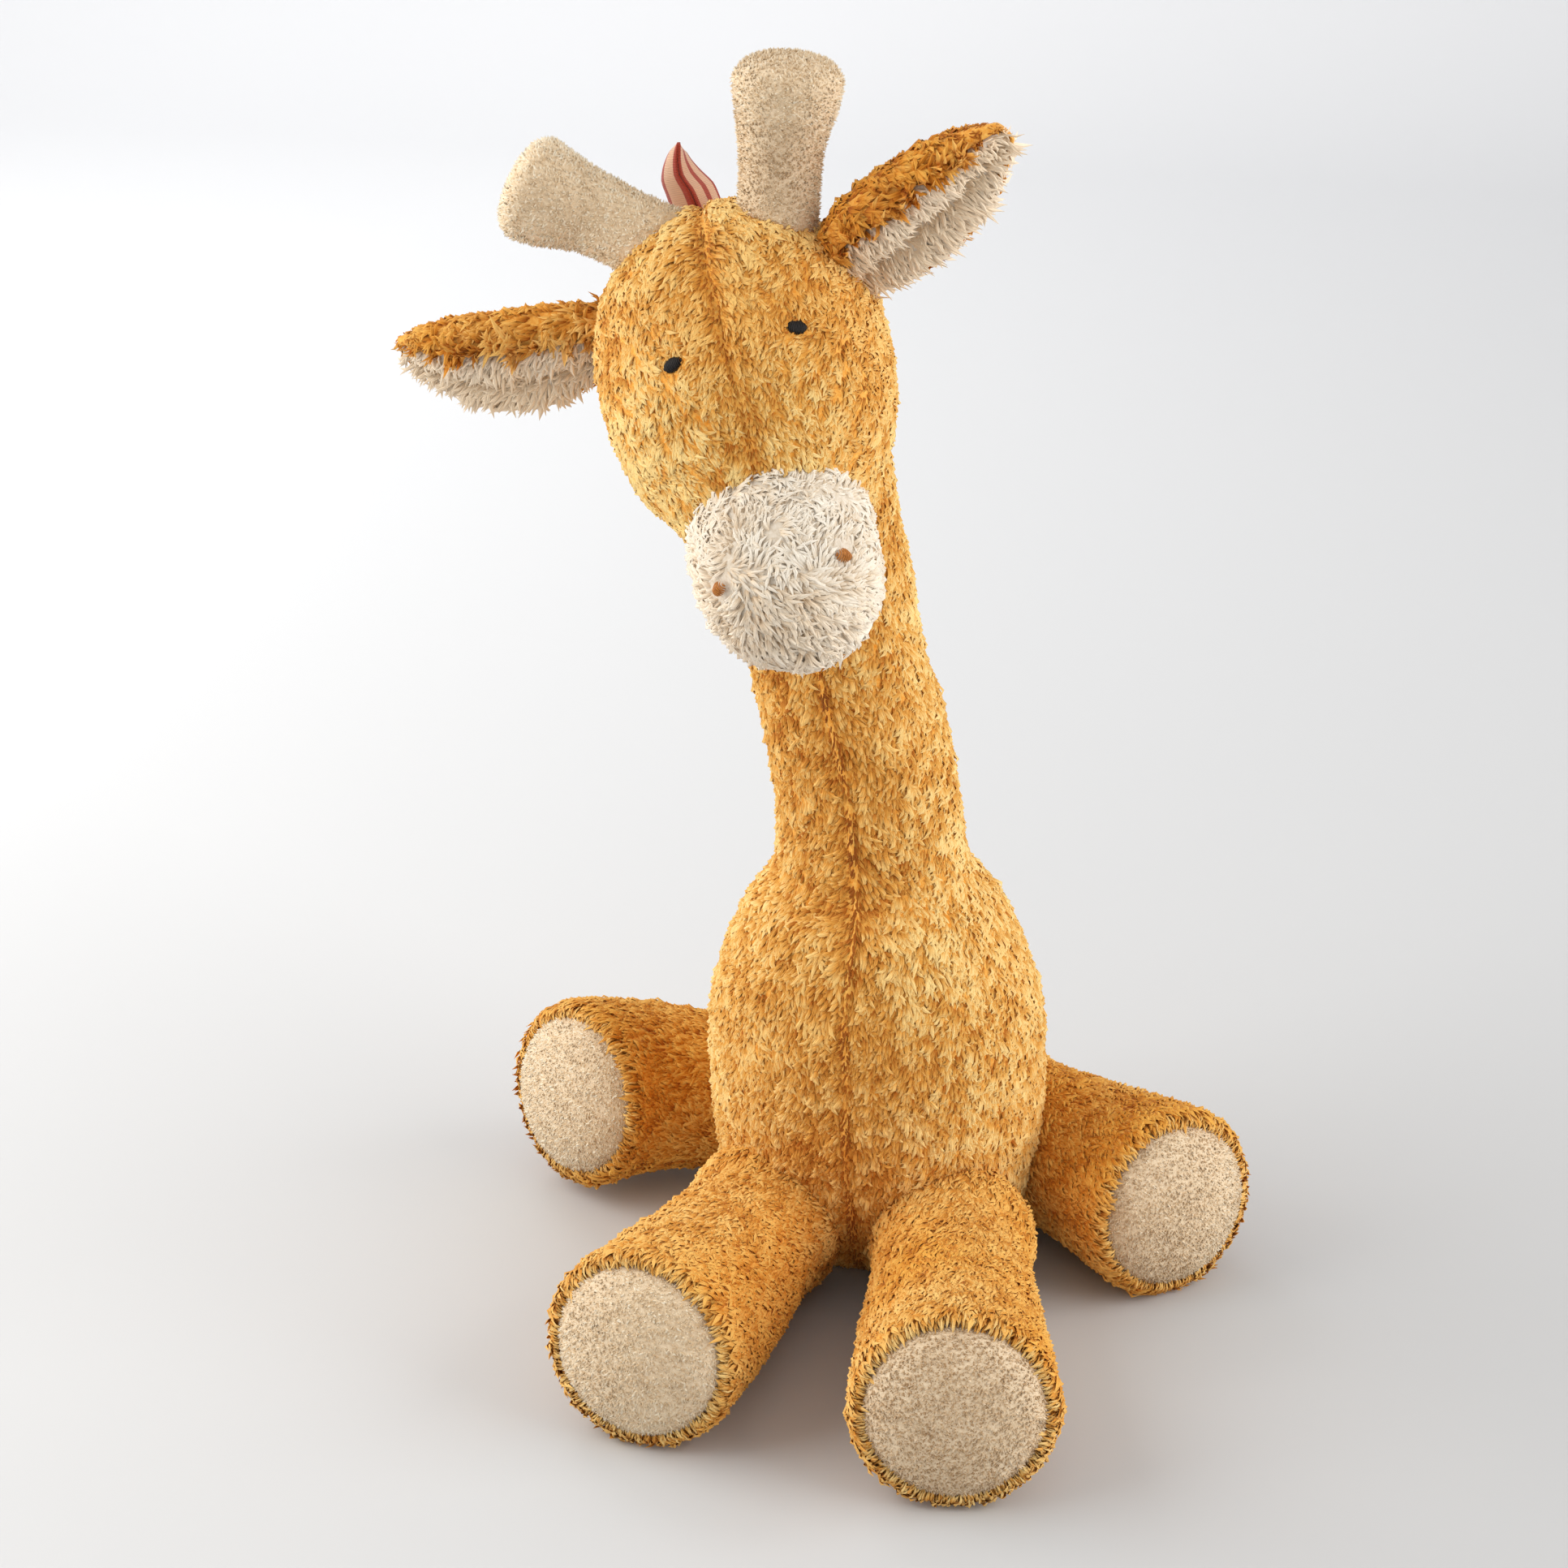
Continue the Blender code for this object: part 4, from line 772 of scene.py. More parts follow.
# Painted light on the head's left side: lighter and less warm.
paintedLightCheek = ramp(grid[..., 0], 0, -0.026) * ramp(stations, 0, 0.026)
inDent = np.clip(dent, 0, 1)
headCloth = dress("headCloth", "plush", "head", ["head_panel_left", "head_panel_right", "head_stuffing"],
                  placed(grid + normal * lift[..., None], headPlace), {
    "flow": flow @ headTurn,
    "cover": ramp(fromNeck, body["neckTopBall"] - 0.002, 0.002) * (1 - 0.35 * inDent),
    "lockScale": 0.9 * (1 + mottle(grid, head["lockNoise"])) * (1 - 0.5 * inDent) * (1 + 0.3 * crown)
    * (1 - 0.45 * bell(top, 0.0014)),
    "warmth": np.clip(head["warm"] + 0.45 * (brow - paintedLightCheek) + mottle(grid, head["warmNoise"]), 0, 1),
    # seam: painted shade in the seam creases and in the dents round the eyes, painted light on the left side.
    "seam": np.clip(2.4 * crease + 0.9 * dent, 0, 2.4) - 0.45 * paintedLightCheek, "combed": 0.95 * bell(top, 0.005)})
grown = growPile(headCloth, "plush", 5, head["tufts"], 0.92, 1.25)
sideways = placed(grown["co"][:, 1], np.linalg.inv(headPlace))[:, 0]
pilePiece("headPileLeft", grown, "head", sideways < 0)
pilePiece("headPileRight", grown, "head", sideways >= 0)

print("stage: muzzle")
first = head["seam"] + head["gap"]
rows = [(0, head["radius"] * head["frontRows"][-1][1] / head["muzzleRadius"])] + head["muzzleRows"]
share = 1 - np.linspace(1, 0, head["muzzleRings"]) ** 1.6
grid, turn = headGrid(first - 0.001 + (head["muzzleLength"] + 0.001) * share,
                      head["muzzleRadius"] * smoothRows(rows, share))
along, around, normal = slopes(grid, outwards=grid + np.array([0, first + 0.02, 0]))
lift = mottle(grid, head["muzzlePuff"]) - head["muzzleSunk"]
# The pile lies outwards from a point between the nostrils, and drifts.
fromSwirl = grid - np.array(head["swirl"])
downFace = np.clip((fromSwirl @ headTurn)[..., 2] / -0.008, -1, 1)
drift = np.stack([waves(grid, 90.0, 25 + i) for i in range(3)], -1)
fromSwirl, drift = (v - normal * (v * normal).sum(-1, keepdims=True) for v in (fromSwirl, drift))
flow = unit(unit(fromSwirl) + drift * (1.9 - 1.1 * downFace)[..., None])
# Painted shade in a hollow of the muzzle's pile, darker and warmer.
shaded = bell(size(grid - np.array(head["shade"])), 0.0085)
nostrilPlace = head["seam"] + head["muzzleLength"] * head["nostrilAhead"]
nostrilRadius = head["muzzleRadius"] * 0.95
nostrilDent = sum(np.exp(-(fromSpot(grid, nostrilPlace, head["nostrilTurn"] * side, nostrilRadius)
                           / head["dentWidth"]) ** 4) for side in (-1, 1))
muzzleCloth = dress("muzzleCloth", "cream", "head", ["muzzle_cover"],
                    placed(grid + normal * lift[..., None], headPlace), {
    "flow": flow @ headTurn, "cover": 1 - np.clip(1.3 * nostrilDent, 0, 1),
    "lockScale": (0.86 + 0.16 * downFace + mottle(grid, head["muzzleLockNoise"])) * (1 - 0.45 * nostrilDent),
    "warmth": np.clip(head["muzzleWarm"] + mottle(grid, head["muzzleWarmNoise"]) + 0.25 * shaded, 0, 1),
    # seam: painted shade round the nostrils and in that hollow, the rest a little lighter.
    "seam": nostrilDent * 0.4 + 0.9 * shaded - 0.15})
pilePiece("muzzlePile", growPile(muzzleCloth, "cream", 7, head["muzzleTufts"]), "head")


# Legs: a bent tube with its rim turned in round a domed pad.
def legCurve(leg):
    hip, foot = np.array(leg["hip"]), np.array(leg["foot"])
    turn, tilt = math.radians(leg["turn"]), math.radians(leg["tilt"])
    facing = np.array([math.sin(turn) * math.cos(tilt), -math.cos(turn) * math.cos(tilt), math.sin(tilt)])
    middle = foot - facing * np.linalg.norm(foot - hip) * legs["bend"]
    angles = np.radians(np.linspace(6, 84, 10))
    ball = hip - unit(middle - hip) * (legs["hipBall"] * np.cos(angles))[:, None]
    share = np.linspace(0, 1, legs["rings"])[:, None]
    curve = hip * (1 - share) ** 2 + middle * (2 * share * (1 - share)) + foot * share**2
    radii = legs["root"] + (legs["rim"] - legs["root"]) * smoothRows(legs["rows"], share[:, 0])
    inBall = np.clip(1 - (np.linalg.norm(curve - hip, axis=1) / legs["hipBall"]) ** 2, 0, 1)
    radii = np.maximum(radii, legs["hipBall"] * np.sqrt(inBall))
    steps = np.array(legs["rimSteps"])
    points = np.concatenate([ball, curve, foot + facing * steps[:, :1]])
    radii = np.concatenate([legs["hipBall"] * np.sin(angles), radii, legs["rim"] + steps[:, 1]])
    return points, radii, facing


bodyTree = BVHTree.FromPolygons([v.co.copy() for v in bodyCloth.data.vertices],
                                [tuple(p.vertices) for p in bodyCloth.data.polygons])


def depthInside(points):
    # How deep each point lies in the body, negative outside.
    depths = []
    for p in points.reshape(-1, 3):
        near, normal, _, away = bodyTree.find_nearest(Vector(p))
        depths.append(-away if (Vector(p) - near).dot(normal) > 0 else away)
    return np.array(depths).reshape(points.shape[:-1])


for legName in legNames:
    print("stage: leg", legName)
    leg = legs[legName]
    bodyName, seed = legName + "_leg", leg["seed"]
    points, radii, facing = legCurve(leg)
    grid, spoke = tube(points, radii, legs["sides"])
    along, around, normal = slopes(grid, outwards=spoke)
    last = len(points) - len(legs["rimSteps"])
    turnedIn = (np.arange(len(points)) >= last).astype(float)[:, None]
    lift = (legs["raise"] + mottle(grid, legs["puff"], seed)) * (1 - turnedIn)
    raised = grid + normal * lift[..., None]
    raised[..., 2] = np.maximum(raised[..., 2], 0.0004)
    nearRim = np.where(turnedIn > 0, 1.0, bell(size(points - points[last - 1])[:, None], 0.0035))
    # The pile lies down the leg, stands up at the rim and turns in over it.
    flow = along * (1 - turnedIn)[..., None] + facing * (0.9 * nearRim * (1 - turnedIn))[..., None]
    flow = unit(flow - spoke * turnedIn[..., None] + facing * (0.15 * turnedIn)[..., None])
    legCloth = dress("legCloth_" + legName, "plush", bodyName, [bodyName + "_cover", bodyName + "_stuffing"],
                     raised, {
        "flow": flow, "cover": ramp(depthInside(grid), 0.006, -0.003) * (1 - turnedIn),
        "lockScale": (1 + mottle(grid, legs["lockNoise"], seed)) * (1 + 0.15 * nearRim),
        "warmth": np.clip(leg["warm"] + mottle(grid, legs["warmNoise"], seed) - 0.5 * turnedIn, 0, 1),
        # seam: painted shade where the rim turns in.
        "seam": 0.25 * turnedIn})
    pilePiece("legPile_" + legName, growPile(legCloth, "plush", seed, legs["tufts"], 0.92, 1.06), bodyName)

    foot = np.array(leg["foot"])
    padRadius = legs["rim"] - legs["lip"] - legs["padGap"]
    rise = np.radians(np.linspace(0, 88, 22))
    padPoints = foot + facing * np.concatenate([[-0.0015], 0.0007 + legs["padRise"] * np.sin(rise)])[:, None]
    padRadii = np.concatenate([[padRadius - 0.0006], padRadius * np.cos(rise) + 0.0002])
    side = unit(np.cross(facing, (0, 0, 1)))
    turn = np.linspace(0, 2 * math.pi, legs["sides"], endpoint=False)[:, None]
    spoke = side * np.cos(turn) + np.cross(side, facing) * np.sin(turn)
    grid = padPoints[:, None] + spoke * padRadii[:, None, None]
    swell = 0.0003 + mottle(grid, legs["padPuff"], seed)
    grid = grid + unit(grid - (foot - facing * 0.02)) * swell[..., None]
    pad = dress("pad_" + legName, "nap", bodyName, [legName + "_foot_pad"], grid, {
        "flow": np.zeros_like(grid) - (0, 0, 1), "cover": 1, "lockScale": 1,
        "warmth": np.clip(leg["padPaintedShade"] + mottle(grid, legs["padWarmNoise"], seed), 0, 1),
        # seam: painted shade at the foot of the dome, beside the rim.
        "seam": 0.6 * bell(size(padPoints - padPoints[0])[:, None], 0.0035)})
    pilePiece("padNap_" + legName, growPile(pad, "nap", seed + 1, napTufting), bodyName)

    # Whipped strands that bridge the lip between the rim and the pad.
    ringPoints = foot + facing * np.array([0.0004, 0.0024, 0.0018])[:, None]
    ringRadii = np.array([legs["rim"] + 0.0004, legs["rim"] - 0.0006, padRadius + 0.0009])
    grid = ringPoints[:, None] + spoke * ringRadii[:, None, None]
    grid[..., 2] = np.maximum(grid[..., 2], 0.0006)
    band = loft("bandCarrier", grid, {
        "flow": np.broadcast_to(-spoke, grid.shape), "cover": np.array([0.4, 1.0, 0.5])[:, None],
        "lockScale": 1, "warmth": leg["bandWarm"], "seam": 0}, closed=False)
    if band.data.polygons[len(band.data.polygons) * 3 // 4].normal.dot(Vector(facing)) < 0:
        band.data.flip_normals()
    pilePiece("bandPile_" + legName, growPile(band, "band", seed + 2, legs["bandTufts"]), bodyName)
    bpy.data.objects.remove(band)


# Horns: clubs of short velour.
horns = {
    "base": 0.0112, "club": 0.0150, "sunk": 0.010, "rings": 44, "capRings": 14, "sides": 44, "blunt": 0.72,
    "rows": [(0, 0), (0.18, -0.12), (0.36, 0), (0.54, 0.40), (0.70, 0.80), (0.83, 1.0)],
    "raise": 0.0007, "puff": [(0.0006, 60.0, 0)], "warmNoise": [(0.8, 60.0, 1)],
    # The left horn's negative seam value is painted light, and the right horn's warmth is painted shade.
    "left": {"base": (-0.0687, -0.0345, 0.3530), "top": (-0.1070, -0.0355, 0.3700),
             "bulge": (-0.0002, 0, -0.0010), "warm": 0.0, "seam": -0.6, "seed": 80},
    "right": {"base": (-0.0272, -0.0345, 0.3632), "top": (-0.0252, -0.0355, 0.4085), "bulge": (0.0014, 0, 0),
              "warm": 0.45, "seam": 0.0, "seed": 90},
}


def hornCurve(horn):
    base, tip = np.array(horn["base"]), np.array(horn["top"])
    length = np.linalg.norm(tip - base)
    until = horns["rows"][-1][0]
    share = np.linspace(0, until, horns["rings"])
    swell = smoothRows(horns["rows"], share)
    angles = np.radians(np.linspace(8, 86, horns["capRings"]))
    stations = np.concatenate([[-horns["sunk"]], length * share,
                               length * (until + (1 - until) * np.sin(angles))])
    radii = np.concatenate([[horns["base"]], horns["base"] + (horns["club"] - horns["base"]) * swell,
                            horns["club"] * np.cos(angles) ** horns["blunt"]])
    bulge = np.concatenate([[0], swell.clip(0, 1), np.ones(len(angles))])[:, None] * np.array(horn["bulge"])
    return base + (tip - base) / length * stations[:, None] + bulge, radii


for side in ("left", "right"):
    print("stage: horn", side)
    horn = horns[side]
    points, radii = hornCurve(horn)
    grid, spoke = tube(points, radii, horns["sides"])
    lift = horns["raise"] + mottle(grid, horns["puff"], horn["seed"])
    lift = lift * np.minimum(radii / 0.008, 1)[:, None]
    velour = dress("horn_" + side + "_velour", "nap", "head", ["horn_" + side, "horn_stuffing_" + side],
                   grid + spoke * lift[..., None], {
        "flow": slopes(grid)[0], "cover": 1, "lockScale": 1, "seam": horn["seam"],
        "warmth": np.clip(horn["warm"] + mottle(grid, horns["warmNoise"], horn["seed"]), 0, 1)})
    pilePiece("hornNap_" + side, growPile(velour, "nap", horn["seed"], napTufting), "head")


# Ears: a plush scoop with a plump cream lining, each a thin shell.
ears = {
    "depth": 0.0115, "halfWidth": 0.0185, "cloth": 0.0022, "gap": 0.0012, "lining": 0.0078, "open": 52,
    "overlap": 16.0, "upperRoll": 0.0034, "lowerRoll": 0.0018, "valley": 0.0034, "valleyAt": 0.47,
    "rows": [(0, 0.62), (0.10, 0.79), (0.25, 0.95), (0.42, 1.0), (0.60, 0.94), (0.76, 0.76), (0.90, 0.50),
             (1, 0.22)],
    "rings": 40, "sides": 22, "puff": [(0.0005, 70.0, 0)], "warm": 0.85,
    "lockNoise": [(0.15, 70.0, 1)], "warmNoise": [(0.6, 50.0, 2)],
    "liningLockNoise": [(0.2, 70.0, 4)], "liningWarmNoise": [(0.4, 60.0, 6)],
    "tufts": {"Swirl": 0.7, "Swirl Scale": 90.0, "Jitter": 0.2, "Clump": 1.5, "Clump Scale": 165.0,
              "Lift Jitter": 0.14},
    "liningTufts": {"Swirl": 0.6, "Swirl Scale": 110.0, "Clump": 0.6, "Clump Scale": 240.0,
                    "Lift Jitter": 0.10},
    "left": {"root": (-0.0785, -0.0320, 0.3215), "tip": (-0.1430, -0.0390, 0.3165),
             "mouth": (0.10, -0.80, -0.60), "sag": 0.0060, "backPaintedShade": 0.05, "liningLight": 1.1, "seed": 100},
    "right": {"root": (-0.0092, -0.0320, 0.3452), "tip": (0.0395, -0.0390, 0.3900),
              "mouth": (0.40, -0.80, -0.45), "sag": 0.0015, "backPaintedShade": 0.45, "liningLight": 1.7,
              "seed": 110},
}


def earShell(ear, outer, inner, span=(0.0, 1.0), opens=(0.0, 0.0)):
    # outer and inner are how much the half width and the depth grow, and opens is degrees off each rim.
    root, tip = np.array(ear["root"]), np.array(ear["tip"])
    direction = unit(tip - root)
    mouth = np.array(ear["mouth"])
    mouth = unit(mouth - direction * mouth.dot(direction))
    across = np.cross(direction, mouth)
    share = np.linspace(*span, ears["rings"])
    width = smoothRows(ears["rows"], share)
    centre = root + (tip - root) * share[:, None]
    centre[:, 2] -= ear["sag"] * 4 * share * (1 - share)
    way = 1 if across[2] > 0 else -1
    opens = opens[::-way]
    angle = np.linspace(90 + ears["open"] + opens[0], 450 - ears["open"] - opens[1], ears["sides"])
    arcs = []
    for grow, order in ((outer, angle), (inner, angle[::-1])):
        order = np.radians(order)[:, None]
        half, depth = (np.maximum(ears[key] * width + more, 0.0004)[:, None, None]
                       for key, more in zip(("halfWidth", "depth"), grow))
        arcs.append(centre[:, None] + across * half * np.cos(order) + mouth * depth * np.sin(order))
    upper = np.linspace(0, 1, ears["sides"])[::way]
    upper = np.concatenate([upper, upper[::-1]])
    return np.concatenate(arcs, axis=1), direction, mouth, share[:, None], upper


for side in ("left", "right"):
    print("stage: ear", side)
    ear = ears[side]
    bodyName, seed, n, cloth = "ear_" + side, ear["seed"], ears["sides"], ears["cloth"]
    grid, direction, mouth, share, upper = earShell(ear, (0.0, 0.0), (-cloth, -cloth))
    outerSide = np.concatenate([np.ones(n), np.zeros(n)])
    outerSide[[n, 2 * n - 1]] = 1.0
    upperRim, lowerRim = ramp(upper, 0.82, 0.18), ramp(upper, 0.34, -0.2)
    lift = mottle(grid, ears["puff"], seed) * outerSide
    earBack = dress("earBack_" + side, "plush", bodyName, ["ear_back_" + side],
                    grid + unit(grid - grid.mean(axis=1, keepdims=True)) * lift[..., None], {
        "flow": unit(direction * 0.8 + mouth * (0.2 + 1.3 * upperRim)[:, None] + np.zeros_like(grid)),
        "cover": outerSide * (1 - 0.8 * lowerRim) * (1 - ramp(share, 0.86, 0.1) * ramp(upper, 0.75, -0.3)),
        "lockScale": (1 + 0.3 * upperRim - 0.45 * lowerRim) * (1 - 0.62 * ramp(share, 0.76, 0.2))
        * (1 + mottle(grid, ears["lockNoise"], seed)),
        "warmth": np.clip(ears["warm"] + mottle(grid, ears["warmNoise"], seed), 0, 1),
        # seam: painted shade on the ear's back, more on the right ear.
        "seam": ear["backPaintedShade"]})
    pilePiece("earPile_" + side, growPile(earBack, "plush", seed, ears["tufts"]), bodyName)

    first = -(cloth + ears["gap"]) + 0.0006
    inner = (first - 0.0012, first - ears["lining"])
    grid, direction, mouth, share, upper = earShell(ear, (first, first), inner, (0.03, 0.985),
                                                    (2.0, -ears["overlap"]))
    # The front of the lining bridges the scoop, with a roll below each rim and a valley between them.
    low, high = (0, n - 1) if upper[0] < upper[n - 1] else (n - 1, 0)
    lowRim, highRim = grid[:, low], grid[:, high]
    opening = size(highRim - lowRim)[:, None]
    t = upper[n:]
    rolls = ears["upperRoll"] * bell(t - 0.80, 0.17) + ears["lowerRoll"] * bell(t - 0.16, 0.17)
    rolls = (rolls - ears["valley"] * bell(t - ears["valleyAt"], 0.13) + 0.0005) * (opening / opening.max())
    t = t[:, None]
    grid[:, n:] = lowRim[:, None] * (1 - t) + highRim[:, None] * t + mouth * rolls[..., None]
    innerSide = 1 - outerSide
    innerSide[[0, n - 1]] = 1.0
    upperRim, lowerRim = ramp(upper, 0.62, 0.38), ramp(upper, 0.25, -0.25)
    # Painted shade in the valley between the rolls, darker and warmer; liningLight lightens the whole lining
    # as painted light, more on the right ear.
    valley = bell(upper - ears["valleyAt"], 0.16)
    downwards = unit(lowRim - highRim)[:, None]
    lining = dress("earLining_" + side, "cream", bodyName, ["ear_lining_" + side], grid, {
        "flow": unit(downwards + direction * 0.4 + mouth * (0.2 + 0.7 * upperRim)[:, None]),
        "cover": innerSide,
        "lockScale": (0.9 + 0.45 * lowerRim - 0.1 * upperRim - 0.10 * ramp(share, 0.7, 0.3))
        * (1 + mottle(grid, ears["liningLockNoise"], seed)),
        "warmth": np.clip(ears["warm"] + 0.5 * valley + mottle(grid, ears["liningWarmNoise"], seed), 0, 1),
        "seam": 0.25 * valley - ear["liningLight"]})
    pilePiece("earCream_" + side, growPile(lining, "cream", seed + 5, ears["liningTufts"]), bodyName)


# Ribbon: a folded loop of ribbed weave.
ribbon = {
    "thickness": 0.0008, "base": (-0.0572, -0.0160, 0.3563), "facing": -13, "depth": 0.0050,
    "topDrop": 0.0032,
    # Height in metres, then sideways in mm the near edges of the two walls, the left wall's middle and far
    # edge and the right wall's far edge.
    "rows": [(-0.0100, 2.6, 3.05, -5.2, -3.6, 9.2), (0.0000, 2.0, 2.45, -5.6, -4.0, 9.0),
             (0.0055, 0.2, 0.65, -7.1, -5.4, 7.4), (0.0085, -1.2, -0.75, -8.2, -6.4, 6.0),
             (0.0105, -2.7, -2.25, -8.6, -6.8, 4.2), (0.0130, -4.0, -3.5, -8.4, -6.6, 2.0),
             (0.0170, -4.4, -3.95, -7.4, -5.6, -0.6), (0.0200, -4.2, -3.8, -6.1, -4.7, -1.9),
             (0.0218, -3.9, -3.7, -4.4, -3.8, -3.2)],
    "rings": 26, "sides": 25, "stripes": 2.0, "ribs": 2300, "red": rgb(190, 60, 30),
    "pale": rgb(255, 206, 172),
}


def ribbonMaterial():
    material, tree, inputs = newMaterial("ribbonWeave", {"Roughness": 0.6, "Sheen Weight": 0.3})
    bands, rib = (mathNode(tree, wave, mathNode(tree, "MULTIPLY", attributeNode(tree, key),
                                                2 * math.pi * ribbon[count]))
                  for wave, key, count in (("COSINE", "across", "stripes"), ("SINE", "alongRibbon", "ribs")))
    share = clamped(tree, mathNode(tree, "MULTIPLY_ADD", bands, -7.0, 3.0))
    ribShade = clamped(tree, mathNode(tree, "MULTIPLY_ADD", rib, 0.14, 0.86))
    grey = newNode(tree, "ShaderNodeCombineColor", {i: ribShade for i in range(3)})
    colour = mixColour(tree, share, ribbon["red"], ribbon["pale"])
    feed(inputs["Base Color"], mixColour(tree, 1.0, colour, grey.outputs[0], "MULTIPLY"))
    emboss(tree, inputs, rib, 0.5, 0.0003)
    return material


print("stage: ribbon")
spin = Matrix.Rotation(math.radians(-ribbon["facing"]), 4, "Z")
place = np.array(Matrix.Translation(ribbon["base"]) @ spin)
count, sides = ribbon["rings"], ribbon["sides"]
rows = np.array(ribbon["rows"]) / ([1] + [1000] * 5)
top = rows[-1, 0]
heights = top - (top - rows[0, 0]) * np.linspace(1, 0, count) ** 1.5
nearLeft, nearRight, middleLeft, farLeft, farRight = (smoothRows(rows[:, [0, i]], heights)[:, None]
                                                      for i in range(1, 6))
back = np.linspace(0, 1, sides)
below = np.clip(1 - heights / top, 0, 1)[:, None]
leftX = nearLeft * (1 - back) * (1 - 2 * back) + middleLeft * 4 * back * (1 - back)
leftX = leftX + farLeft * back * (2 * back - 1)
rightX = nearRight * (1 - back) + farRight * back + 0.0006 * np.sin(math.pi * back) * below
y = ribbon["depth"] * (2 * back - 1) * (0.55 + 0.45 * below ** 0.5)
z = heights[:, None] - ribbon["topDrop"] * back * np.clip(heights / top, 0, 1)[:, None] ** 3
middle = np.concatenate([np.stack([leftX, y, z], -1), np.stack([rightX, y, z], -1)[::-1]])
outLeft = np.array([-1.0, 0, 0]) * (np.arange(2 * count) < count)[:, None, None]
shift = slopes(middle, wrap=False, outwards=outLeft)[2] * ribbon["thickness"] / 2
length = np.concatenate([[0], np.cumsum(np.linalg.norm(np.diff(middle[:, sides // 2], axis=0), axis=1))])
across = np.linspace(-0.5, 0.5, sides)
grid = np.concatenate([middle + shift, (middle - shift)[:, ::-1]], axis=1)
loop = loft("ribbonLoop", placed(grid, place), {
    "across": np.concatenate([across, across[::-1]]), "alongRibbon": length[:, None]})
loop.data.materials.append(ribbonMaterial())
settle(loop, "head")
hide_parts("ribbon_loop")


# Stitched eyes and nostrils: rows of satin threads over a low mound.
stitches = {
    "eye": {"Half Length": 0.0031, "Half Width": 0.0025, "Count": 13, "Fan": 0.0, "dark": rgb(8, 7, 7),
            "light": rgb(36, 31, 29), "roughness": 0.6},
    "nostril": {"Half Length": 0.0025, "Half Width": 0.0020, "Count": 9, "Fan": 0.35,
                "dark": rgb(136, 78, 26), "light": rgb(206, 136, 66), "roughness": 0.5},
    "nostrilTilt": 22,
}


def makeStitchTree():
    tree, given, result = newTree("stitchTree", "GeometryNodeTree", {
        "Geometry": ["Geometry"], "Int": ["Count"], "Material": ["Finish"], "Object": ["Thread"],
        "Float": ["Half Length", "Half Width", "Thickness", "Fan"]}, {"Geometry": ["Geometry"]})
    row = newNode(tree, "GeometryNodeMeshLine", {"Count": given["Count"]}, mode="END_POINTS")
    index = newNode(tree, "GeometryNodeInputIndex").outputs[0]
    share = mathNode(tree, "DIVIDE", index, mathNode(tree, "SUBTRACT", given["Count"], 1.0))
    share = mathNode(tree, "MULTIPLY_ADD", share, 1.9, -0.95)
    chord = mathNode(tree, "SQRT", mathNode(tree, "SUBTRACT", 1.0, mathNode(tree, "MULTIPLY", share, share)))
    jitter = mathNode(tree, "MULTIPLY", randomNode(tree, 0.9, 1.08, 5), given["Half Width"])
    spot, size, spin = (newNode(tree, "ShaderNodeCombineXYZ", values).outputs[0] for values in (
        {0: mathNode(tree, "MULTIPLY", share, given["Half Length"])},
        {0: given["Thickness"], 1: mathNode(tree, "MULTIPLY", chord, jitter),
         2: mathNode(tree, "MULTIPLY", chord, given["Thickness"])},
        {2: mathNode(tree, "MULTIPLY", share, given["Fan"])}))
    moved = newNode(tree, "GeometryNodeSetPosition", {"Geometry": (row, "Mesh"), "Position": spot})
    thread = newNode(tree, "GeometryNodeObjectInfo", {"Object": given["Thread"]})
    sewn = newNode(tree, "GeometryNodeInstanceOnPoints", {
        "Points": (moved, "Geometry"), "Instance": (thread, "Geometry"), "Scale": size,
        "Rotation": newNode(tree, "FunctionNodeEulerToRotation", {0: spin}).outputs[0]})
    finishTree(tree, result, (sewn, "Instances"), given["Finish"])
    return tree


def threadObject():
    # One thread a unit half-length long, arched over the mound.
    reach = np.linspace(-1, 1, 7)
    arch = np.stack([np.zeros(7), reach, 2.2 * (1 - reach**2)], -1)
    turn = np.linspace(0, 2 * math.pi, 6, endpoint=False)
    ring = np.stack([np.cos(turn), np.zeros(6), np.sin(turn)], -1)
    return loft("thread", arch[:, None] + ring * np.where(np.abs(reach) < 1, 0.5, 0.3)[:, None, None], {})


def makeThreadTwist():
    tree, given, result = newTree("threadTwist", "ShaderNodeTree", {"Color": ["Dark", "Light"]},
                                  {"Color": ["Color"]})
    share = clamped(tree, mathNode(tree, "MULTIPLY_ADD", noiseNode(tree, 1800.0, 2.0), 1.6, -0.3))
    feed(result.inputs["Color"], mixColour(tree, share, given["Dark"], given["Light"]))
    return tree


def threadMaterial(name, settings):
    constants = {"Roughness": settings["roughness"], "Specular IOR Level": 0.25}
    material, tree, inputs = newMaterial(name, constants)
    twist = newNode(tree, "ShaderNodeGroup", {"Dark": settings["dark"], "Light": settings["light"]},
                    node_tree=threadTwist)
    feed(inputs["Base Color"], twist.outputs["Color"])
    return material


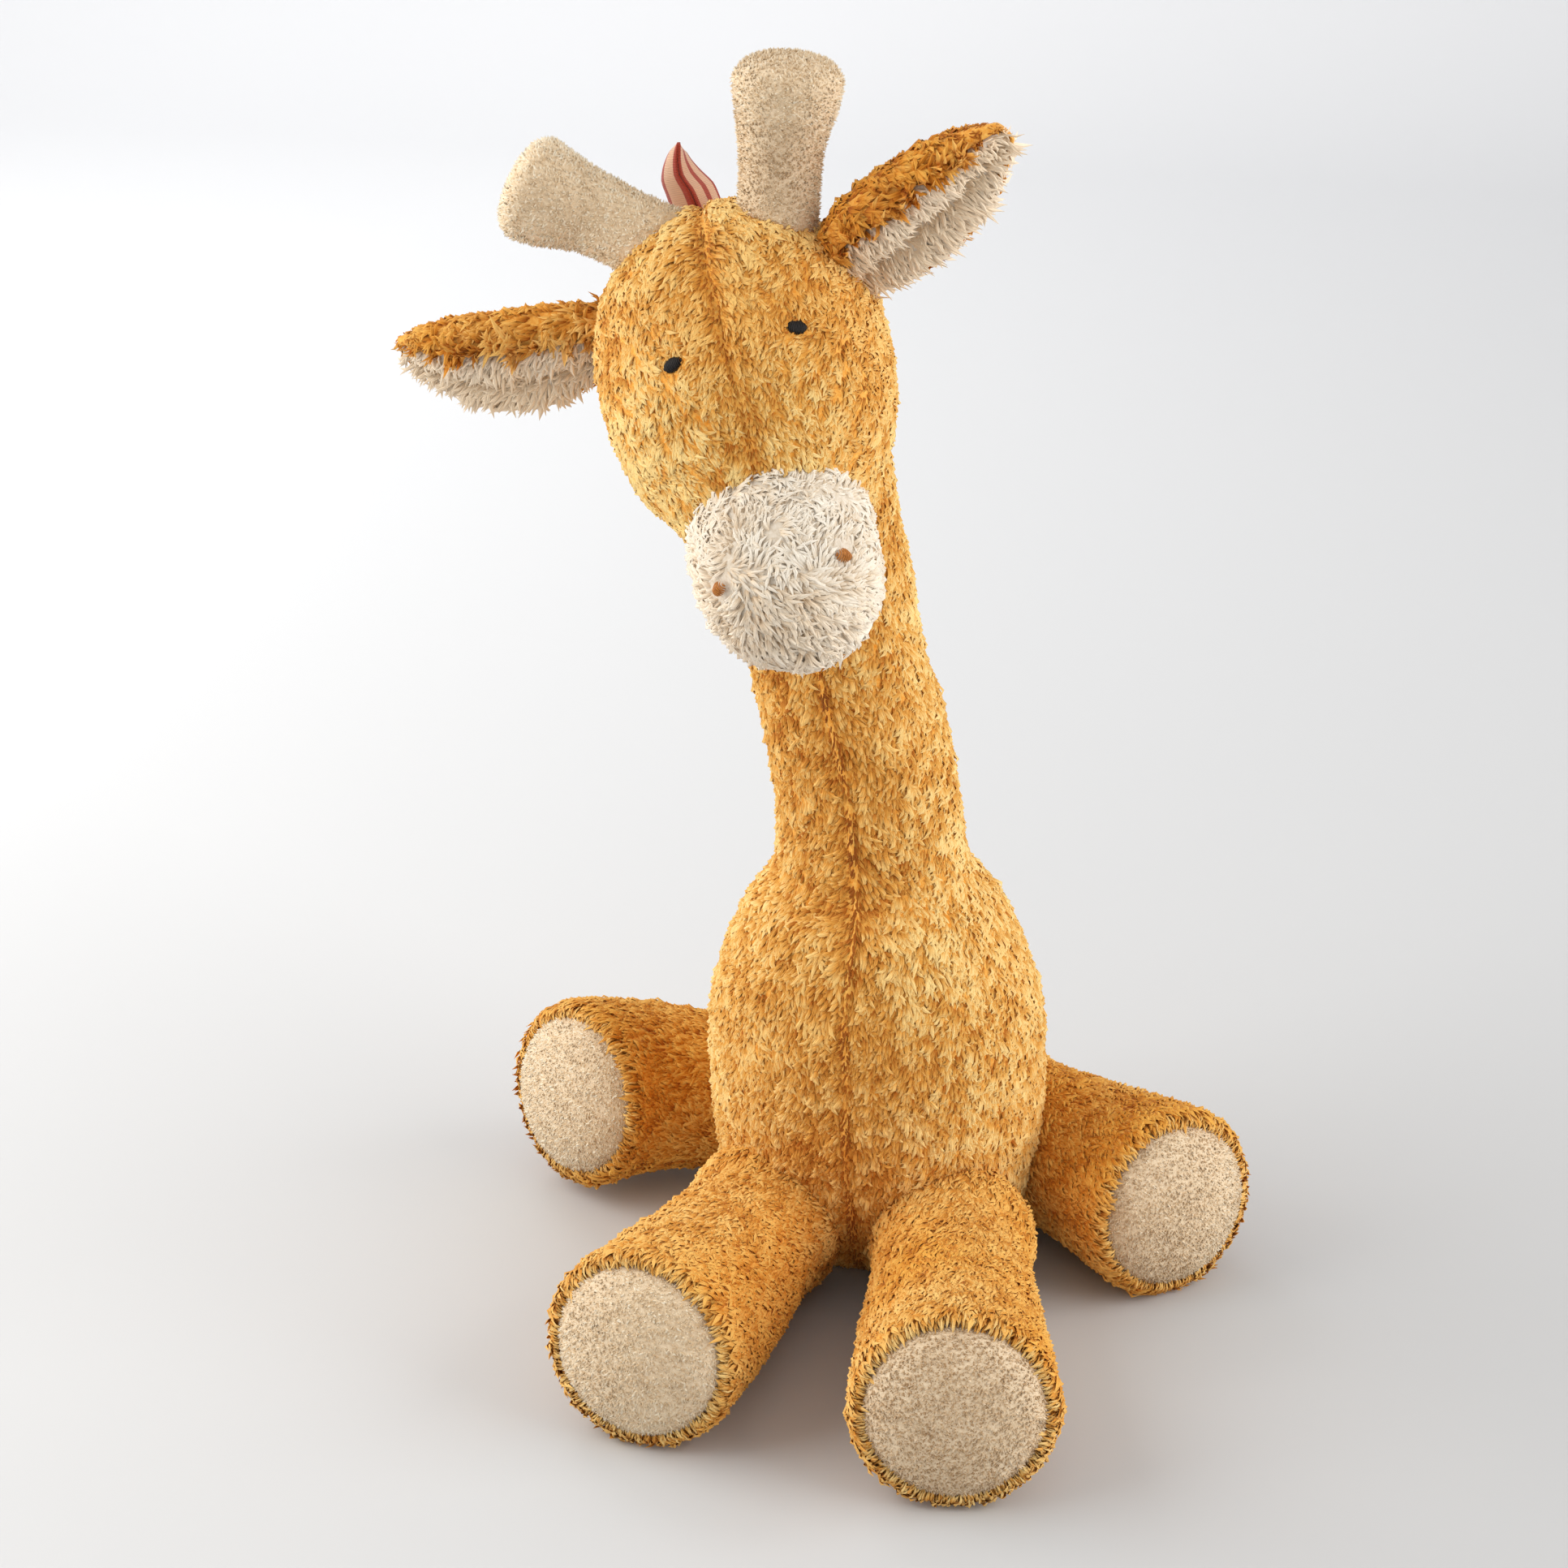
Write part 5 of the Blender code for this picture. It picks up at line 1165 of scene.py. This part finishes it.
def stitchPatch(kind, side, ahead, radius, degrees, tilt):
    settings = stitches[kind]
    a = math.radians(degrees)
    normal = Vector((math.sin(a), 0, math.cos(a)))
    spot = Matrix.Translation(Vector((0, -ahead, 0)) + normal * radius)
    local = spot @ Matrix.Rotation(a, 4, "Y") @ Matrix.Rotation(math.radians(tilt), 4, "X")
    name = kind + side
    carrier = addObject(name + "Plain", bpy.data.meshes.new(name + "Plain"))
    thickness = settings["Half Length"] * 2.4 / settings["Count"]
    mesh = runTree(carrier, stitchTree, {**settings, "Thread": thread, "Thickness": thickness})
    bpy.data.objects.remove(carrier)
    mesh.transform(Matrix(headPlace.tolist()) @ local)
    mesh.shade_smooth()
    mesh.name = name
    piece = addObject(name, mesh)
    settle(piece, "head")
    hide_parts(kind + "_" + side.lower())


print("stage: stitches")
stitchTree = makeStitchTree()
threadTwist = makeThreadTwist()
thread = threadObject()
for kind in ("eye", "nostril"):
    stitches[kind]["Finish"] = threadMaterial(kind + "Thread", stitches[kind])
for side in ("Left", "Right"):
    ahead, degrees = head["eye" + side]
    stitchPatch("eye", side, ahead, float(headRadius(ahead)) + 0.0006, degrees, 0)
for side, way in (("Left", -1), ("Right", 1)):
    stitchPatch("nostril", side, nostrilPlace, nostrilRadius + 0.0008, way * head["nostrilTurn"],
                stitches["nostrilTilt"])
bpy.data.objects.remove(thread)
for settings in pile.values():
    for obj in list(settings["locks"].objects):
        bpy.data.objects.remove(obj)
    bpy.data.collections.remove(settings["locks"])


# Studio: a pale sweep, painted a little darker near and to the right as painted shade, a soft box on each
# side and one on the backdrop.
studio = {"back": 1.6, "front": -2.6, "width": 1.7, "radius": 0.7, "wall": 2.6, "floor": -0.0002}
sweepPaintedShade = {"middle": 0.600, "perX": -0.27, "perY": 0.086, "crossed": 0.092, "low": 0.45, "high": 0.80,
             "red": 0.985, "blue": 1.022, "bluePerY": 0.006}
lamps = {
    "leftBox": {"place": (-1.5, -0.4, 1.0), "target": (0, 0, 0.18), "size": 1.9, "energy": 31.0,
                "color": (1.0, 0.975, 0.94)},
    "rightBox": {"place": (1.5, -0.2, 0.75), "target": (0, 0, 0.2), "size": 1.5, "energy": 22.0,
                 "color": (1.0, 0.985, 0.965)},
    "wallBox": {"place": (-0.9, 1.0, 1.4), "target": (-0.8, 1.7, 0), "size": 0.8, "energy": 7.2,
                "color": (1.0, 1.0, 1.0)},
}
sky = {"color": (1.0, 0.985, 0.96), "strength": 0.60, "seenMore": 0.34}
shot = {"eye": (0.1706, -0.9928, 0.600), "azimuth": 10.0, "pitch": 23.2, "turn": 1.56, "lens": 78.0,
        "sensor": 36.0}


def sweepMaterial():
    material, tree, inputs = newMaterial("paperSweep", {"Roughness": 0.9})
    place = newNode(tree, "ShaderNodeTexCoord")
    parts = newNode(tree, "ShaderNodeSeparateXYZ", {0: (place, "Object")})
    x = clamped(tree, parts.outputs[0], -0.9, 0.25)
    y = clamped(tree, parts.outputs[1], -0.2, 1.9)
    sideways = mathNode(tree, "MULTIPLY", x, mathNode(tree, "MULTIPLY_ADD", y, sweepPaintedShade["crossed"],
                                                      sweepPaintedShade["perX"]))
    grey = mathNode(tree, "ADD", sideways, mathNode(tree, "MULTIPLY_ADD", y, sweepPaintedShade["perY"],
                                                    sweepPaintedShade["middle"]))
    grey = clamped(tree, grey, sweepPaintedShade["low"], sweepPaintedShade["high"])
    blue = mathNode(tree, "MULTIPLY_ADD", y, sweepPaintedShade["bluePerY"], sweepPaintedShade["blue"])
    red, blue = (mathNode(tree, "MULTIPLY", grey, value) for value in (sweepPaintedShade["red"], blue))
    colour = newNode(tree, "ShaderNodeCombineColor", {0: red, 1: grey, 2: blue})
    feed(inputs["Base Color"], colour.outputs[0])
    return material


print("stage: studio")
angle = np.radians(np.linspace(0, 90, 13))
ys = np.concatenate([[studio["front"]], studio["back"] + studio["radius"] * np.sin(angle),
                     [studio["back"] + studio["radius"]]])
zs = np.concatenate([[0], studio["radius"] * (1 - np.cos(angle)), [studio["wall"]]]) + studio["floor"]
co = [(x, y, z) for y, z in zip(ys, zs) for x in (-studio["width"], studio["width"])]
mesh = buildMesh("paperSweep", co, np.array([(i, i + 1, i + 3, i + 2) for i in range(0, len(co) - 2, 2)]), {})
mesh.materials.append(sweepMaterial())
addObject("paperSweep", mesh)

for name, settings in lamps.items():
    light = bpy.data.lights.new(name, "AREA")
    light.shape = "SQUARE"
    for key in ("size", "energy", "color"):
        setattr(light, key, settings[key])
    lamp = addObject(name, light)
    lamp.location = settings["place"]
    lamp.rotation_euler = (Vector(settings["target"]) - lamp.location).to_track_quat("-Z", "Y").to_euler()

scene = bpy.context.scene
scene.view_settings.view_transform = "Standard"
scene.world = bpy.data.worlds.new("studioWorld")
scene.world.use_nodes = True
tree = scene.world.node_tree
background = next(n for n in tree.nodes if n.type == "BACKGROUND")
feed(background.inputs[0], sky["color"])
# What the camera sees past the sweep is pale, without more light on the toy.
rays = newNode(tree, "ShaderNodeLightPath").outputs
seen = mathNode(tree, "MAXIMUM", rays["Is Glossy Ray"], rays["Is Transmission Ray"])
seen = mathNode(tree, "MAXIMUM", rays["Is Camera Ray"], seen)
feed(background.inputs[1], mathNode(tree, "MULTIPLY_ADD", seen, sky["seenMore"], sky["strength"]))

azimuth, pitch, heading = (math.radians(shot[key]) for key in ("azimuth", "pitch", "turn"))
backwards = Vector((math.sin(azimuth), -math.cos(azimuth), 0))
rightwards = Vector((math.cos(azimuth), math.sin(azimuth), 0))
level = -backwards * math.cos(heading) - rightwards * math.sin(heading)
look = level * math.cos(pitch) - Vector((0, 0, 1)) * math.sin(pitch)
lens = bpy.data.cameras.new("photoCamera")
lens.lens, lens.sensor_width = shot["lens"], shot["sensor"]
scene.camera = addObject("photoCamera", lens)
scene.camera.location = shot["eye"]
scene.camera.rotation_euler = look.to_track_quat("-Z", "Y").to_euler()
